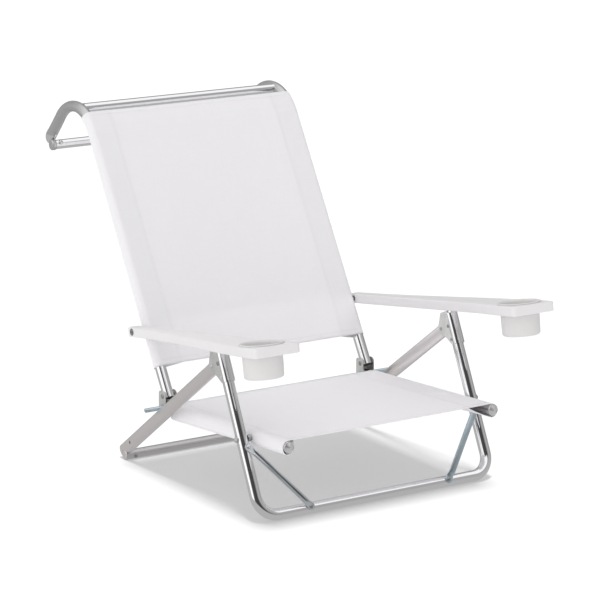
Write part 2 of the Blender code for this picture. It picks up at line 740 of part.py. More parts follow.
def back_crossbars():
    """The upper bar butts between the hooks, the lower one lies in front of their ends."""
    piece("back_upper_crossbar",
          crossbar(BACK_X - TUBE_R - 0.8, hook_point(UPPER_BAR_DEG)),
          "back_axis", "polished_aluminium")
    holes = [bar_screw_hole(at(sign * LOWER_SCREW_X, LOWER_BAR), LOWER_SCREW_OUT)
             for sign in (-1, 1)]
    piece("back_lower_crossbar", combine(crossbar(LOWER_BAR_HALF, LOWER_BAR), holes),
          "back_axis", "polished_aluminium")


def lower_crossbar_screw(sign, side):
    screw = bar_screw(at(sign * LOWER_SCREW_X, LOWER_BAR), LOWER_SCREW_OUT, 4.8)
    piece("lower_crossbar_screw_" + side, screw, "back_axis", "rivet_steel")


def back_sling():
    """Cloth on the rails' front face, up round the start of the hook bend."""
    stations = [(back_point(CLOTH_LOW), (-BACK_U[1], BACK_U[0]))]
    step = (HOOK_TO - HOOK_FROM) / HOOK_STEPS
    angle = HOOK_FROM
    while angle + step > CLOTH_TOP_DEG:
        stations.append((hook_point(angle), direction(angle)))
        angle += step
    stations.append((hook_point(angle), direction(angle)))
    # the top edge falls part way along the next straight facet of the bend
    p, q = hook_point(angle), hook_point(angle + step)
    t = (CLOTH_TOP_DEG - angle) / step
    edge = (p[0] + (q[0] - p[0]) * t, p[1] + (q[1] - p[1]) * t)
    stations.append((edge, direction(angle + step / 2)))
    piece("back_sling", cloth(stations, BACK_X), "back_axis", "white_cloth")


# ---------------------------------------------------------------- armrests
ARM_T = 22.0
ARM_WALL = 2.8
ARM_CEILING = ARM_T - 3.6     # height of the hollow's ceiling above the underside
HOLLOW_Y = (-8.0, 486.0)      # hollow's ends, between the cup and the rear boss
# plan outline: y, |x|, corner radius; inner edge nearly straight, outer edge flared
ARM_PLAN = [
    (541.0, 285.5, 7), (541.0, 315.5, 7), (430.0, 320.0, 60), (330.0, 330.5, 80),
    (220.0, 347.5, 90), (80.0, 369.0, 90), (-30.0, 383.5, 60), (-80.0, 388.0, 20),
    (-116.5, 388.0, 8), (-116.5, 274.0, 11), (-75.0, 275.5, 40), (30.0, 285.5, 90),
]
# edge profile: height above the underside, inset of the plan
ARM_LEVELS = [(0, 2.0), (2.2, 0.0), (ARM_T - 3.0, 0.0), (ARM_T - 0.9, 0.9), (ARM_T, 3.0)]

CUP_R = 43.0
CUP_WALL = 2.6
CUP_RIM = 48.6          # outside radius of the rim that rests on the armrest
CUP_AT = (335.0, -59.0)       # |x|, y on the underside
CUP_DEEP = 50.0         # below the underside
CUP_SIDES = 28

ARM_N = Vector((0, sin(radians(ARM_DEG)), cos(radians(ARM_DEG))))   # up, square to the arm


def arm_under(y, up=0.0):
    """(y, z) on the armrest's underside at y, raised square to it by up."""
    return (y + sin(radians(ARM_DEG)) * up,
            ARM_UNDER[1] + (ARM_UNDER[0] - y) * tan(radians(ARM_DEG))
            + cos(radians(ARM_DEG)) * up)


def arm_plan(inset):
    """The rounded plan outline, drawn in by inset, as (y, |x|)."""
    points = rounded(ARM_PLAN)
    if inset == 0:
        return points
    out = []
    for i in range(len(points)):
        last, here = Vector(points[i - 1]), Vector(points[i])
        after = Vector(points[(i + 1) % len(points)])
        edge0, edge1 = (here - last).normalized(), (after - here).normalized()
        normal0, normal1 = Vector((-edge0.y, edge0.x)), Vector((-edge1.y, edge1.x))
        mitre = (normal0 + normal1).normalized()
        out.append(tuple(here + mitre * inset / mitre.dot(normal1)))
    return out


def clip(outline, limit, sign):
    """Keep the part of a (y, |x|) outline where sign * y is above sign * limit."""
    out = []
    for p, q in zip(outline, outline[1:] + outline[:1]):
        p_kept, q_kept = (p[0] - limit) * sign >= 0, (q[0] - limit) * sign >= 0
        if p_kept:
            out.append(p)
        if p_kept != q_kept:
            t = (limit - p[0]) / (q[0] - p[0])
            out.append((limit, p[1] + (q[1] - p[1]) * t))
    return out


def arm_ring(plan, height, sign):
    return [at(sign * x, arm_under(y, height)) for y, x in plan]


def cup_centre(sign):
    return at(sign * CUP_AT[0], arm_under(CUP_AT[1]))


def armrest(sign, side):
    """A slab with a hollow open at the bottom, a cup hole and a bore for the rear bolt."""
    body = loft([arm_ring(arm_plan(inset), height, sign) for height, inset in ARM_LEVELS])
    hollow_plan = clip(clip(arm_plan(ARM_WALL), HOLLOW_Y[0], 1), HOLLOW_Y[1], -1)
    hollow = loft([arm_ring(hollow_plan, height, sign) for height in (-3.0, ARM_CEILING)])
    centre = cup_centre(sign)
    cup_hole = rod(centre - ARM_N * 10, centre + ARM_N * (ARM_T + 10),
                   CUP_R + FIT + 0.15, CUP_SIDES)
    bore = rod(at(sign * 278, ARM_REAR), at(sign * 330, ARM_REAR), 6.6)
    piece("armrest_" + side, combine(body, [hollow, cup_hole, bore]),
          "arm_axis", "white_plastic", 35)


def cup_holder(sign, side):
    """A separate cup dropped through the arm, hanging from its rounded rim."""
    top = ARM_T + FIT
    inside = CUP_R - CUP_WALL
    # distance above the underside, radius: up the outside, over the rim, down the inside
    profile = [
        (-CUP_DEEP, 0), (-CUP_DEEP, CUP_R - 6.5), (-CUP_DEEP + 2.0, CUP_R - 2.0),
        (-CUP_DEEP + 6.5, CUP_R - 0.2), (-5.0, CUP_R), (top, CUP_R),
        (top, CUP_RIM), (top + 1.4, CUP_RIM - 0.4), (top + 2.8, CUP_RIM - 2.2),
        (top + 2.6, CUP_RIM - 4.4), (top - 0.5, CUP_R - 1.6), (top - 5.0, inside),
        (-CUP_DEEP + 8.0, inside - 0.4), (-CUP_DEEP + CUP_WALL, CUP_R - 9.0),
        (-CUP_DEEP + CUP_WALL, 0),
    ]
    piece("cup_holder_" + side, turned(profile, cup_centre(sign), ARM_N, CUP_SIDES),
          "arm_axis", "white_plastic", 35)


# steel bracket in the hollow: a web against the ceiling and two tabs down to the pivot pin
TAB_U = direction(76.3)       # up the tab from the pin
TAB_N = (-TAB_U[1], TAB_U[0])
TAB_HALF = 2.4                # half width of the tab above its round end
TAB_END_R = 6.6
WEB_Y = (136.0, 176.0)        # front and rear edges of the web
WEB_T = 2.4
BRACKET_OUT = 11.4            # half widths outside and between the tabs
BRACKET_IN = 8.6


def tab_point(along, forward):
    """(y, z) at a distance up the tab from the pin and forward of its centre line."""
    return (ARM_PIVOT[0] + TAB_U[0] * along + TAB_N[0] * forward,
            ARM_PIVOT[1] + TAB_U[1] * along + TAB_N[1] * forward)


def armrest_bracket(sign, side):
    x = sign * LEG_X
    ceiling = ARM_CEILING - FIT
    front, rear = WEB_Y
    round_end = [tab_point(TAB_END_R * cos(radians(a)), TAB_END_R * sin(radians(a)))
                 for a in range(-65, -296, -33)]
    outline = [tab_point(22.0, -TAB_HALF)] + round_end
    outline += [tab_point(22.0, TAB_HALF), tab_point(34.0, TAB_HALF),
                arm_under(front, ceiling - WEB_T), arm_under(front, ceiling),
                arm_under(rear, ceiling), arm_under(rear, ceiling - WEB_T),
                tab_point(36.0, -TAB_HALF)]
    slot = [arm_under(190.0, ceiling - 2.6), arm_under(110.0, ceiling - 2.6),
            (110.0, 300.0), (190.0, 300.0)]
    cutters = [prism(slot, x - BRACKET_IN, x + BRACKET_IN),
               hole_across(x, HOLE_REACH, ARM_PIVOT, PIN_HOLE_R)]
    bm = combine(prism(outline, x - BRACKET_OUT, x + BRACKET_OUT), cutters)
    piece("armrest_bracket_" + side, bm, "arm_axis", "rivet_steel")


ARM_BOLT_X = 318.2            # inner face of the bolt's outer flange


def armrest_bolt(sign, side):
    """A shoulder bolt through the back rail and the armrest's rear boss."""
    length = ARM_BOLT_X - (BACK_X - TUBE_R - FIT)
    profile = [(-2.4, 0), (-2.4, 4.6), (-1.4, 6.2), (-1.4, 8.4), (0, 8.4), (0, RIVET_R),
               (length, RIVET_R), (length, 5.6), (length + 1.5, 5.2), (length + 2.4, 3.0),
               (length + 2.4, 0)]
    piece("armrest_bolt_" + side,
          turned(profile, at(sign * ARM_BOLT_X, ARM_REAR), (-sign, 0, 0)),
          "back_axis", "rivet_steel")


# ---------------------------------------------------------------- build
for build_single in (front_leg_frame, rear_floor_bar, seat_cross_rod, seat_sling,
                     back_crossbars, back_sling):
    build_single()

for side_sign, side_name in ((-1, "right"), (1, "left")):
    for build_side in (gusset_bracket, gusset_fasteners, seat_pivot, brace_strut,
                       rear_leg, rear_bar_fittings, seat_rail, hinge,
                       back_rail, lower_crossbar_screw,
                       armrest, cup_holder, armrest_bracket, armrest_bolt):
        build_side(side_sign, side_name)
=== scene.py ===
"""Folding sling chair with a tubular metal frame and two plastic armrests with cup holders.

Drawing units are millimetres: x runs to the chair's left, y from front to back, z up, floor at
z = 0. A side-view point is a (y, z) pair. world() turns drawing points into the scene's metres.
"""
import json
import bmesh
import bpy
from math import sin, cos, tan, pi, radians, atan2, hypot, exp
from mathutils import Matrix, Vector

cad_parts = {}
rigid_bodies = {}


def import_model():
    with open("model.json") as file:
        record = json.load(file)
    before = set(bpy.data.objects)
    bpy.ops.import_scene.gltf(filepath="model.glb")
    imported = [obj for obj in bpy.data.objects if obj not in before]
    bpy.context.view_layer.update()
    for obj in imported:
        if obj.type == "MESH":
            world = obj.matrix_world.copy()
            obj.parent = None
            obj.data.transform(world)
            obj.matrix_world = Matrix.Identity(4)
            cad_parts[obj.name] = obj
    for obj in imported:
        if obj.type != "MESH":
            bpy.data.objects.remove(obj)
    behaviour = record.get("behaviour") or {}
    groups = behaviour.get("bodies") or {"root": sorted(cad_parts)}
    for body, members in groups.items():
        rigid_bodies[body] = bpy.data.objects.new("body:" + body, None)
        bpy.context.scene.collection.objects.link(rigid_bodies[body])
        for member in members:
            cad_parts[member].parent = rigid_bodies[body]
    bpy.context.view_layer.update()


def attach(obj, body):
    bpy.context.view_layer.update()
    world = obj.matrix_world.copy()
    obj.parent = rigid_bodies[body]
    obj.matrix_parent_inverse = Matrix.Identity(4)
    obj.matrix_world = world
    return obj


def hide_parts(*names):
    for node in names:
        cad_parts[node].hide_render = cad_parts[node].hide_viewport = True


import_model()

# ------------------------------------------------------------------ frame dimensions
MM = 0.001
Y_ORIGIN = 435.36                                   # drawing y of the scene's y = 0
TUBE_R, BAR_R, WALL = 12.7, 11.1, 1.6
FRONT_BAR_Z = TUBE_R * cos(pi / 16)
LEG_X, SEAT_X, BACK_X = 304.0, 267.5, 268.5         # tube centres either side
LEG_DEG, LEG_BEND, LEG_TOP = 64.78, 46.0, 333.0
SEAT_PIVOT, ARM_PIVOT, BACK_PIVOT = (73.6, 169.0), (146.0, 322.0), (443.0, 174.8)
ARM_REAR, REAR_PIVOT, ROD = (520.5, 312.0), (173.0, 310.0), (440.5, 149.5)
SEAT_DEG, SEAT_FRONT, SEAT_REAR = -3.33, -56.0, 453.5
SEAT_CLOTH = (-53.0, 411.0)                         # y of the seat cloth's two hems
BACK_DEG, BACK_STUB = 59.6, 5.0                     # the stub runs on below the pivot
HOOK_R, HOOK_TOP, HOOK_DEG, HOOK_END = 99.0, (852.0, 774.0), -50.0, 77.0
UPPER_BAR_DEG, CLOTH_TOP_DEG = 101.0, 123.0         # places round the hook's arc
CLOTH_LOW, LOWER_BAR = 68.0, (955.0, 668.5)
REAR_DEG, REAR_H, REAR_T, REAR_LEN = -35.4, 31.0, 16.0, 510.0
REAR_BAR_AT = (569.5, BAR_R * cos(pi / 16))
REAR_BAR_HALF = LEG_X + 7.5
LOWER_BAR_HALF = BACK_X + 11.5
ARM_DEG, ARM_T, ARM_UNDER = 8.78, 22.0, (530.0, 298.6)
CUP_R, CUP_WALL, CUP_AT, CUP_DEEP, CUP_RIM = 43.0, 2.6, (335.0, -59.0), 50.0, 48.6
SIDES = ((-1, "right"), (1, "left"))


def direction(deg):
    return (cos(radians(deg)), sin(radians(deg)))


LEG_U, SEAT_U, BACK_U = direction(LEG_DEG), direction(SEAT_DEG), direction(BACK_DEG)
REAR_U, HOOK_U = direction(REAR_DEG), direction(HOOK_DEG)
HOOK_CENTRE = (HOOK_TOP[0], HOOK_TOP[1] - HOOK_R)
LEG_NORMAL = Vector((0, -LEG_U[1], LEG_U[0]))       # faces forward and up
ARM_NORMAL = Vector((0, sin(radians(ARM_DEG)), cos(radians(ARM_DEG))))


def along(origin, axis, distance, up=0.0):
    """Side-view point at a distance along an axis and another square to it."""
    return (origin[0] + axis[0] * distance - axis[1] * up,
            origin[1] + axis[1] * distance + axis[0] * up)


def leg_point(distance, behind=0.0):
    return along((0.0, FRONT_BAR_Z), LEG_U, distance, -behind)


def at(x, yz):
    return Vector((x, yz[0], yz[1]))


def leg_plane(x, distance):
    return at(x, leg_point(distance))


def seat_point(y):
    return (y, SEAT_PIVOT[1] + (y - SEAT_PIVOT[0]) * tan(radians(SEAT_DEG)))


def hook_point(deg):
    return along(HOOK_CENTRE, direction(deg), HOOK_R)


def back_point(distance):
    return along(BACK_PIVOT, BACK_U, distance)


def rear_point(distance, up=0.0):
    return along(REAR_PIVOT, REAR_U, distance, up)


def arm_under(y, up=0.0):
    """Point above the armrest's sloping underside."""
    return (y + ARM_NORMAL.y * up,
            ARM_UNDER[1] + (ARM_UNDER[0] - y) * tan(radians(ARM_DEG)) + ARM_NORMAL.z * up)


def world(point):
    return Vector((point[0] * MM, (point[1] - Y_ORIGIN) * MM, point[2] * MM))


def spaced(start, end, steps):
    return [start + (end - start) * i / steps for i in range(steps + 1)]


def quarter(steps):
    """Angles of a quarter turn."""
    return spaced(0.0, pi / 2, steps)


# ------------------------------------------------------------------ shader helpers
def set_input(socket, value):
    """Link a socket to the input, or set the input's own value."""
    if isinstance(value, bpy.types.NodeSocket):
        socket.id_data.links.new(value, socket)
    else:
        socket.default_value = value


def configure(item, **settings):
    """Set inputs (Base_Color means 'Base Color') and properties of a node."""
    for name, value in settings.items():
        label = name.replace("_", " ")
        if label in item.inputs:
            set_input(item.inputs[label], value)
        else:
            setattr(item, name, value)


def node(tree, kind, *inputs, **settings):
    """Add a shader node; the positional values fill its inputs in order."""
    item = tree.nodes.new('ShaderNode' + kind)
    configure(item, **settings)
    for socket, value in zip(item.inputs, inputs):
        set_input(socket, value)
    return item


def find(tree, kind):
    return next(item for item in tree.nodes if item.type == kind)


def new_material(name, **settings):
    material = bpy.data.materials.new(name)
    material.use_nodes = True
    shader = find(material.node_tree, 'BSDF_PRINCIPLED')
    configure(shader, **settings)
    return material, material.node_tree, shader


def set_surface(tree, shader):
    set_input(find(tree, 'OUTPUT_MATERIAL').inputs['Surface'], shader.outputs[0])


def math(tree, operation, *values):
    return node(tree, 'Math', *values, operation=operation).outputs[0]


def noise(tree, vector, scale, detail, roughness):
    return node(tree, 'TexNoise', Vector=vector, Scale=scale, Detail=detail,
                Roughness=roughness).outputs['Fac']


def ramp(tree, factor, *stops):
    """Colour ramp; stops are (position, colour)."""
    item = node(tree, 'ValToRGB', Fac=factor)
    elements = item.color_ramp.elements
    elements.remove(elements[-1])
    for i, (position, colour) in enumerate(stops):
        element = elements[0] if i == 0 else elements.new(position)
        element.position = position
        element.color = (*colour[:3], 1.0)
    return item.outputs['Color']


def mix_colour(tree, factor, first, second, **settings):
    item = node(tree, 'Mix', data_type='RGBA', **settings)
    set_input(item.inputs['Factor'], factor)
    set_input(item.inputs[6], first)
    set_input(item.inputs[7], second)
    return item.outputs[2]


def grey(value):
    return (value, value, value, 1.0)


def scaled(colour, factor):
    return [min(1, channel * factor) for channel in colour]


def texture_space(tree, kind):
    return node(tree, 'TexCoord').outputs[kind]


def mapped(tree, vector, scale=(1, 1, 1)):
    return node(tree, 'Mapping', Vector=vector, Scale=scale).outputs['Vector']


def add_bump(tree, shader, height, strength, distance):
    bump = node(tree, 'Bump', Strength=strength, Distance=distance, Height=height)
    configure(shader, Normal=bump.outputs['Normal'])


def sheen_range(tree, value, low, high):
    return node(tree, 'MapRange', Value=value, To_Min=low, To_Max=high).outputs['Result']


# ------------------------------------------------------------------ materials
def tube_metal(name, colour, rough, streak=0.05, bump=0.02):
    """Drawn tube: fine lines along its length and faintly cloudy roughness."""
    material, tree, shader = new_material(name, Metallic=1.0)
    cloud = noise(tree, mapped(tree, texture_space(tree, 'Object')),
                  scale=26.0, detail=4.0, roughness=0.6)
    # the UV runs along and round the tube: a large second scale draws the lines out
    lines = noise(tree, mapped(tree, texture_space(tree, 'UV'), scale=(3.0, 420.0, 1.0)),
                  scale=1.0, detail=3.0, roughness=0.7)
    tint = ramp(tree, lines, (0.25, scaled(colour, 1 - streak)),
                (0.75, scaled(colour, 1 + streak)))
    # roughness runs from 0.75 to 1.25 of the nominal value
    cloudy = math(tree, 'MULTIPLY_ADD', cloud, rough * 0.5, rough * 0.75)
    configure(shader, Base_Color=tint, Roughness=cloudy)
    add_bump(tree, shader, lines, strength=bump, distance=0.0004)
    return material


def plate_metal(name, colour, rough, grain=220.0, vary=0.08, bump=0.08):
    """Plated sheet: mottled colour, fine pits, uneven sheen."""
    material, tree, shader = new_material(name, Metallic=1.0)
    vector = mapped(tree, texture_space(tree, 'Object'))
    pits = noise(tree, vector, scale=grain, detail=5.0, roughness=0.65)
    mottle = noise(tree, vector, scale=grain * 0.16, detail=3.0, roughness=0.5)
    tint = ramp(tree, mottle, (0.3, scaled(colour, 1 - vary)), (0.7, scaled(colour, 1 + vary)))
    configure(shader, Base_Color=tint,
              Roughness=sheen_range(tree, pits, low=rough * 0.75, high=rough * 1.3))
    add_bump(tree, shader, pits, strength=bump, distance=0.0003)
    return material


def plastic(name, colour, rough, grain=1500.0, bump=0.12, specular=0.4, subsurface=0.0):
    """Moulded plastic: fine leathery texture and slightly cloudy sheen."""
    material, tree, shader = new_material(name, Specular_IOR_Level=specular)
    vector = mapped(tree, texture_space(tree, 'Object'))
    fine = noise(tree, vector, scale=grain, detail=3.0, roughness=0.6)
    broad = noise(tree, vector, scale=9.0, detail=2.0, roughness=0.5)
    cells = node(tree, 'TexVoronoi', Vector=vector, Scale=grain * 0.6).outputs['Distance']
    configure(shader,
              Base_Color=ramp(tree, broad, (0.3, scaled(colour, 0.975)), (0.7, colour)),
              Roughness=sheen_range(tree, fine, low=rough * 0.85, high=rough * 1.2))
    add_bump(tree, shader, math(tree, 'ADD', fine, cells), strength=bump, distance=0.0002)
    if subsurface:
        configure(shader, Subsurface_Weight=subsurface,
                  Subsurface_Radius=(0.004, 0.004, 0.0045))
    return material


def cloth_material(name, colour, thread=0.9):
    """Plain-weave cloth. The UV is in millimetres across and along the cloth."""
    material, tree, shader = new_material(
        name, Roughness=0.82, Specular_IOR_Level=0.25, Sheen_Weight=0.12, Sheen_Roughness=0.5)
    uv = texture_space(tree, 'UV')
    split = node(tree, 'SeparateXYZ', uv)
    across, lengthwise = split.outputs['X'], split.outputs['Y']

    def wave(source, phase=0.0):
        angle = math(tree, 'MULTIPLY_ADD', source, pi / thread, phase)
        return math(tree, 'SINE', angle)

    def ridge(source):
        return math(tree, 'ABSOLUTE', wave(source, pi / 2), 0.0)

    def slub(scale):
        return noise(tree, mapped(tree, uv, scale), scale=1.0, detail=3.0, roughness=0.6)

    # rounded ridges both ways that pass over each other in turn
    crossing = math(tree, 'MULTIPLY', wave(across), wave(lengthwise))
    over = math(tree, 'MULTIPLY_ADD', crossing, 0.5, 0.5)
    under = math(tree, 'SUBTRACT', 1.0, over)
    weave = math(tree, 'ADD', math(tree, 'MULTIPLY', ridge(across), over),
                 math(tree, 'MULTIPLY', ridge(lengthwise), under))
    # long uneven threads in both directions
    slubs = math(tree, 'ADD', slub((0.35, 0.02, 1.0)), slub((0.02, 0.35, 1.0)))
    slubs = math(tree, 'MULTIPLY', slubs, 0.5)
    # painted shade: the weave's low points, between the crossing threads, are coloured darker
    weave_shade_tint = ramp(tree, weave, (0.0, scaled(colour, 0.90)), (0.7, colour))
    slub_tint = ramp(tree, slubs, (0.35, grey(0.975)), (0.6, grey(1.0)))
    configure(shader, Base_Color=mix_colour(tree, 1.0, weave_shade_tint, slub_tint,
                                            blend_type='MULTIPLY'))
    height = math(tree, 'ADD', weave, math(tree, 'MULTIPLY', slubs, 0.8))
    add_bump(tree, shader, height, strength=0.35, distance=0.00035)
    # a little light passes through a single layer
    through = node(tree, 'BsdfTranslucent', Color=(*colour, 1.0))
    light_share = 0.12
    set_surface(tree, node(tree, 'MixShader', light_share, shader.outputs[0],
                           through.outputs[0]))
    return material


def thread_material(name, colour):
    material, tree, shader = new_material(name, Roughness=0.7)
    twist = node(tree, 'TexWave', Vector=texture_space(tree, 'Object'), Scale=900.0,
                 Distortion=1.5).outputs['Fac']
    # painted shade: the grooves of the twist are coloured darker
    configure(shader, Base_Color=ramp(tree, twist, (0.2, scaled(colour, 0.8)), (0.8, colour)))
    add_bump(tree, shader, twist, strength=0.4, distance=0.0002)
    return material


MAT = {
    "polished": tube_metal("polished_tube", (0.88, 0.875, 0.89), rough=0.075, streak=0.03),
    "mirror": plate_metal("polished_cap", (0.96, 0.955, 0.95), rough=0.40, grain=240.0,
                          vary=0.03, bump=0.02),
    "satin": tube_metal("satin_tube", (0.66, 0.645, 0.64), rough=0.36, bump=0.05),
    "hook": tube_metal("hook_tube", (0.66, 0.66, 0.66), rough=0.42, streak=0.04, bump=0.04),
    "leg_satin": tube_metal("rear_leg_oval", (0.90, 0.865, 0.855), rough=0.40, bump=0.05),
    "bracket": plate_metal("bracket_plate", (0.86, 0.865, 0.84), rough=0.45),
    "zinc": plate_metal("zinc_plate", (0.62, 0.73, 0.79), rough=0.32, grain=160.0, vary=0.12),
    "zinc_grey": plate_metal("zinc_plate_grey", (0.74, 0.77, 0.79), rough=0.34, grain=160.0,
                             vary=0.12),
    "steel": plate_metal("fastener_steel", (0.42, 0.42, 0.43), rough=0.30, grain=300.0,
                         vary=0.15),
    "bright": plate_metal("screw_bright", (0.75, 0.76, 0.78), rough=0.22, grain=300.0, vary=0.1),
    "arm": plastic("arm_plastic", (0.80, 0.785, 0.795), rough=0.42, subsurface=0.05),
    "cup": plastic("cup_plastic", (0.715, 0.705, 0.70), rough=0.45, subsurface=0.05),
    "plug": plastic("end_plug", (0.80, 0.80, 0.81), rough=0.12, grain=500.0, bump=0.03,
                    specular=0.6, subsurface=0.1),
    "black": plastic("black_plug", (0.05, 0.05, 0.05), rough=0.4, grain=700.0),
    "cloth": cloth_material("sling_cloth", (0.955, 0.94, 0.96)),
    "thread": thread_material("sewing_thread", (0.84, 0.83, 0.84)),
}


# ------------------------------------------------------------------ mesh tools
def make(name, bm, material, body, replaces=None, angle=35.0, bevel=0.0, segments=2,
         recalc=True):
    """Turn a drawing-unit bmesh into a finished object; angle is the sharp-edge limit."""
    if recalc:
        bmesh.ops.recalc_face_normals(bm, faces=bm.faces)
    for vert in bm.verts:
        vert.co = world(vert.co)
    mesh = bpy.data.meshes.new(name)
    bm.to_mesh(mesh)
    bm.free()
    mesh.shade_smooth()
    mesh.set_sharp_from_angle(angle=radians(angle))
    ob = bpy.data.objects.new(name, mesh)
    bpy.context.scene.collection.objects.link(ob)
    mesh.materials.append(MAT[material])
    if bevel:
        edges = ob.modifiers.new("edges", 'BEVEL')
        edges.width = bevel * MM
        edges.segments = segments
        edges.limit_method = 'ANGLE'
        edges.angle_limit = radians(30)
        edges.harden_normals = True
    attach(ob, body)
    if replaces:
        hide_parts(replaces)
    return ob


def add_loft(bm, rings):
    """Closed solid through rings of points, with a flat face at each end."""
    rows = [[bm.verts.new(point) for point in ring] for ring in rings]
    count = len(rows[0])
    for a, b in zip(rows, rows[1:]):
        for i in range(count):
            j = (i + 1) % count
            bm.faces.new((a[i], a[j], b[j], b[i]))
    bm.faces.new(list(reversed(rows[0])))
    bm.faces.new(rows[-1])


def loft(rings):
    bm = bmesh.new()
    add_loft(bm, rings)
    return bm


def prism(outline, x0, x1):
    """Side-view outline drawn out between two x positions."""
    return loft([[(x, y, z) for y, z in outline] for x in (x0, x1)])


def circle(radius, count):
    return [(radius * cos(2 * pi * i / count), radius * sin(2 * pi * i / count))
            for i in range(count)]


def sweep(path, side, section, inner):
    """Sweep a hollow section of (in-plane, sideways) points along a planar path.

    The UV is (length in mm / 100, turns round the section).
    """
    bm = bmesh.new()
    uv_layer = bm.loops.layers.uv.new("UVMap")
    path = [Vector(point) for point in path]
    side = Vector(side).normalized()
    lengths = [0.0]
    for a, b in zip(path, path[1:]):
        lengths.append(lengths[-1] + (b - a).length)
    steps = [(b - a).normalized() for a, b in zip(path, path[1:])]
    frames = []
    for point, before, after in zip(path, steps[:1] + steps, steps + steps[-1:]):
        tangent = (before + after).normalized()
        square = side.cross(tangent).normalized()
        # widened on a bend so that the tube keeps its thickness
        frames.append((point, square * (1.0 / max(0.3, tangent.dot(after)))))

    def wall(outline, flip):
        rings = [[bm.verts.new(point + square * a + side * b) for a, b in outline]
                 for point, square in frames]
        count = len(outline)
        for j, (a, b) in enumerate(zip(rings, rings[1:])):
            for i in range(count):
                k = (i + 1) % count
                verts = (a[i], a[k], b[k], b[i])
                coords = ((j, i), (j, i + 1), (j + 1, i + 1), (j + 1, i))
                if flip:
                    verts, coords = verts[::-1], coords[::-1]
                for loop, (row, turn) in zip(bm.faces.new(verts).loops, coords):
                    loop[uv_layer].uv = (lengths[row] / 100.0, turn / count)
        return rings

    outer = wall(section, False)
    bore = wall(inner, True)
    count = len(section)
    for i in range(count):
        j = (i + 1) % count
        bm.faces.new((outer[0][j], outer[0][i], bore[0][i], bore[0][j]))
        bm.faces.new((outer[-1][i], outer[-1][j], bore[-1][j], bore[-1][i]))
    return bm


def round_tube(path, side, radius=TUBE_R, count=48):
    return sweep(path, side, circle(radius, count), circle(radius - WALL, count))


def cross_bar(half, yz, count):
    """Straight bar from side to side."""
    return round_tube([at(x, yz) for x in spaced(-half, half, 6)], (0, 0, 1), BAR_R, count)


def turned(profile, origin, axis, count=40, closed=False):
    """Turn a profile of (distance along the axis, radius); closed joins its two ends."""
    axis = Vector(axis).normalized()
    reference = Vector((0, 0, 1)) if abs(axis.z) < 0.9 else Vector((0, 1, 0))
    u = axis.cross(reference).normalized()
    w = axis.cross(u).normalized()
    origin = Vector(origin)
    bm = bmesh.new()
    rings = []
    for distance, radius in profile:
        centre = origin + axis * distance
        if radius < 1e-6:
            rings.append([bm.verts.new(centre)])
        else:
            rings.append([bm.verts.new(centre + (u * a + w * b) * radius)
                          for a, b in circle(1.0, count)])
    pairs = list(zip(rings, rings[1:]))
    if closed:
        pairs.append((rings[-1], rings[0]))
    for a, b in pairs:
        if len(a) == 1 and len(b) == 1:
            continue
        for i in range(count):
            j = (i + 1) % count
            if len(a) == 1:
                bm.faces.new((a[0], b[j], b[i]))
            elif len(b) == 1:
                bm.faces.new((a[i], a[j], b[0]))
            else:
                bm.faces.new((a[i], a[j], b[j], b[i]))
    return bm


def rod(start, end, radius, count=32):
    length = (end - start).length
    return turned([(0, 0), (0, radius), (length, radius), (length, 0)], start, end - start, count)


def cross_rod(x, yz, half, radius, count):
    """Rod from side to side, centred on x."""
    return rod(at(x - half, yz), at(x + half, yz), radius, count)


def boolean(bm, cutters, operation='DIFFERENCE'):
    def loose(part):
        bmesh.ops.recalc_face_normals(part, faces=part.faces)
        mesh = bpy.data.meshes.new("tmp")
        part.to_mesh(mesh)
        part.free()
        ob = bpy.data.objects.new("tmp", mesh)
        bpy.context.scene.collection.objects.link(ob)
        return ob

    base = loose(bm)
    tools = [loose(cutter) for cutter in cutters]
    for tool in tools:
        modifier = base.modifiers.new("b", 'BOOLEAN')
        modifier.operation = operation
        modifier.solver = 'EXACT'
        modifier.object = tool
    depsgraph = bpy.context.evaluated_depsgraph_get()
    depsgraph.update()
    result = bpy.data.meshes.new_from_object(base.evaluated_get(depsgraph))
    out = bmesh.new()
    out.from_mesh(result)
    for ob in [base] + tools:
        mesh = ob.data
        bpy.data.objects.remove(ob, do_unlink=True)
        bpy.data.meshes.remove(mesh)
    bpy.data.meshes.remove(result)
    return out


def rounded(points, radii, steps):
    """Outline with each corner rounded to its own radius; 0 leaves it sharp."""
    out = []
    for i, radius in enumerate(radii):
        corner = Vector(points[i])
        a = Vector(points[i - 1]) - corner
        b = Vector(points[(i + 1) % len(points)]) - corner
        if radius <= 0:
            out.append(tuple(corner))
            continue
        half = a.angle(b) / 2
        reach = min(radius / tan(half), a.length * 0.49, b.length * 0.49)
        radius = reach * tan(half)
        a.normalize()
        b.normalize()
        centre = corner + (a + b).normalized() * (radius / sin(half))
        start, end = corner + a * reach - centre, corner + b * reach - centre
        first = atan2(start.y, start.x)
        turn = (atan2(end.y, end.x) - first + pi) % (2 * pi) - pi
        out += [(centre.x + radius * cos(t), centre.y + radius * sin(t))
                for t in spaced(first, first + turn, steps)]
    return out


def dome(name, material, body, point, facing, radius, height, dimple, shank, replaces=None):
    """Rivet or screw head: a dimpled low dome on a shank, seated at a point."""
    floor_h = height * 0.9 - dimple
    profile = [(-shank, 0), (-shank, radius * 0.45), (0, radius * 0.45), (0, radius * 0.98),
               (height * 0.15, radius)]
    profile += [(height * (0.15 + 0.85 * sin(t)), radius * cos(t)) for t in quarter(6)[1:5]]
    profile += [(height * 0.97, radius * 0.36), (height * 0.9, radius * 0.30),
                (floor_h, radius * 0.24), (floor_h, 0)]
    make(name, turned(profile, point, facing, 28), material, body, replaces, angle=50)


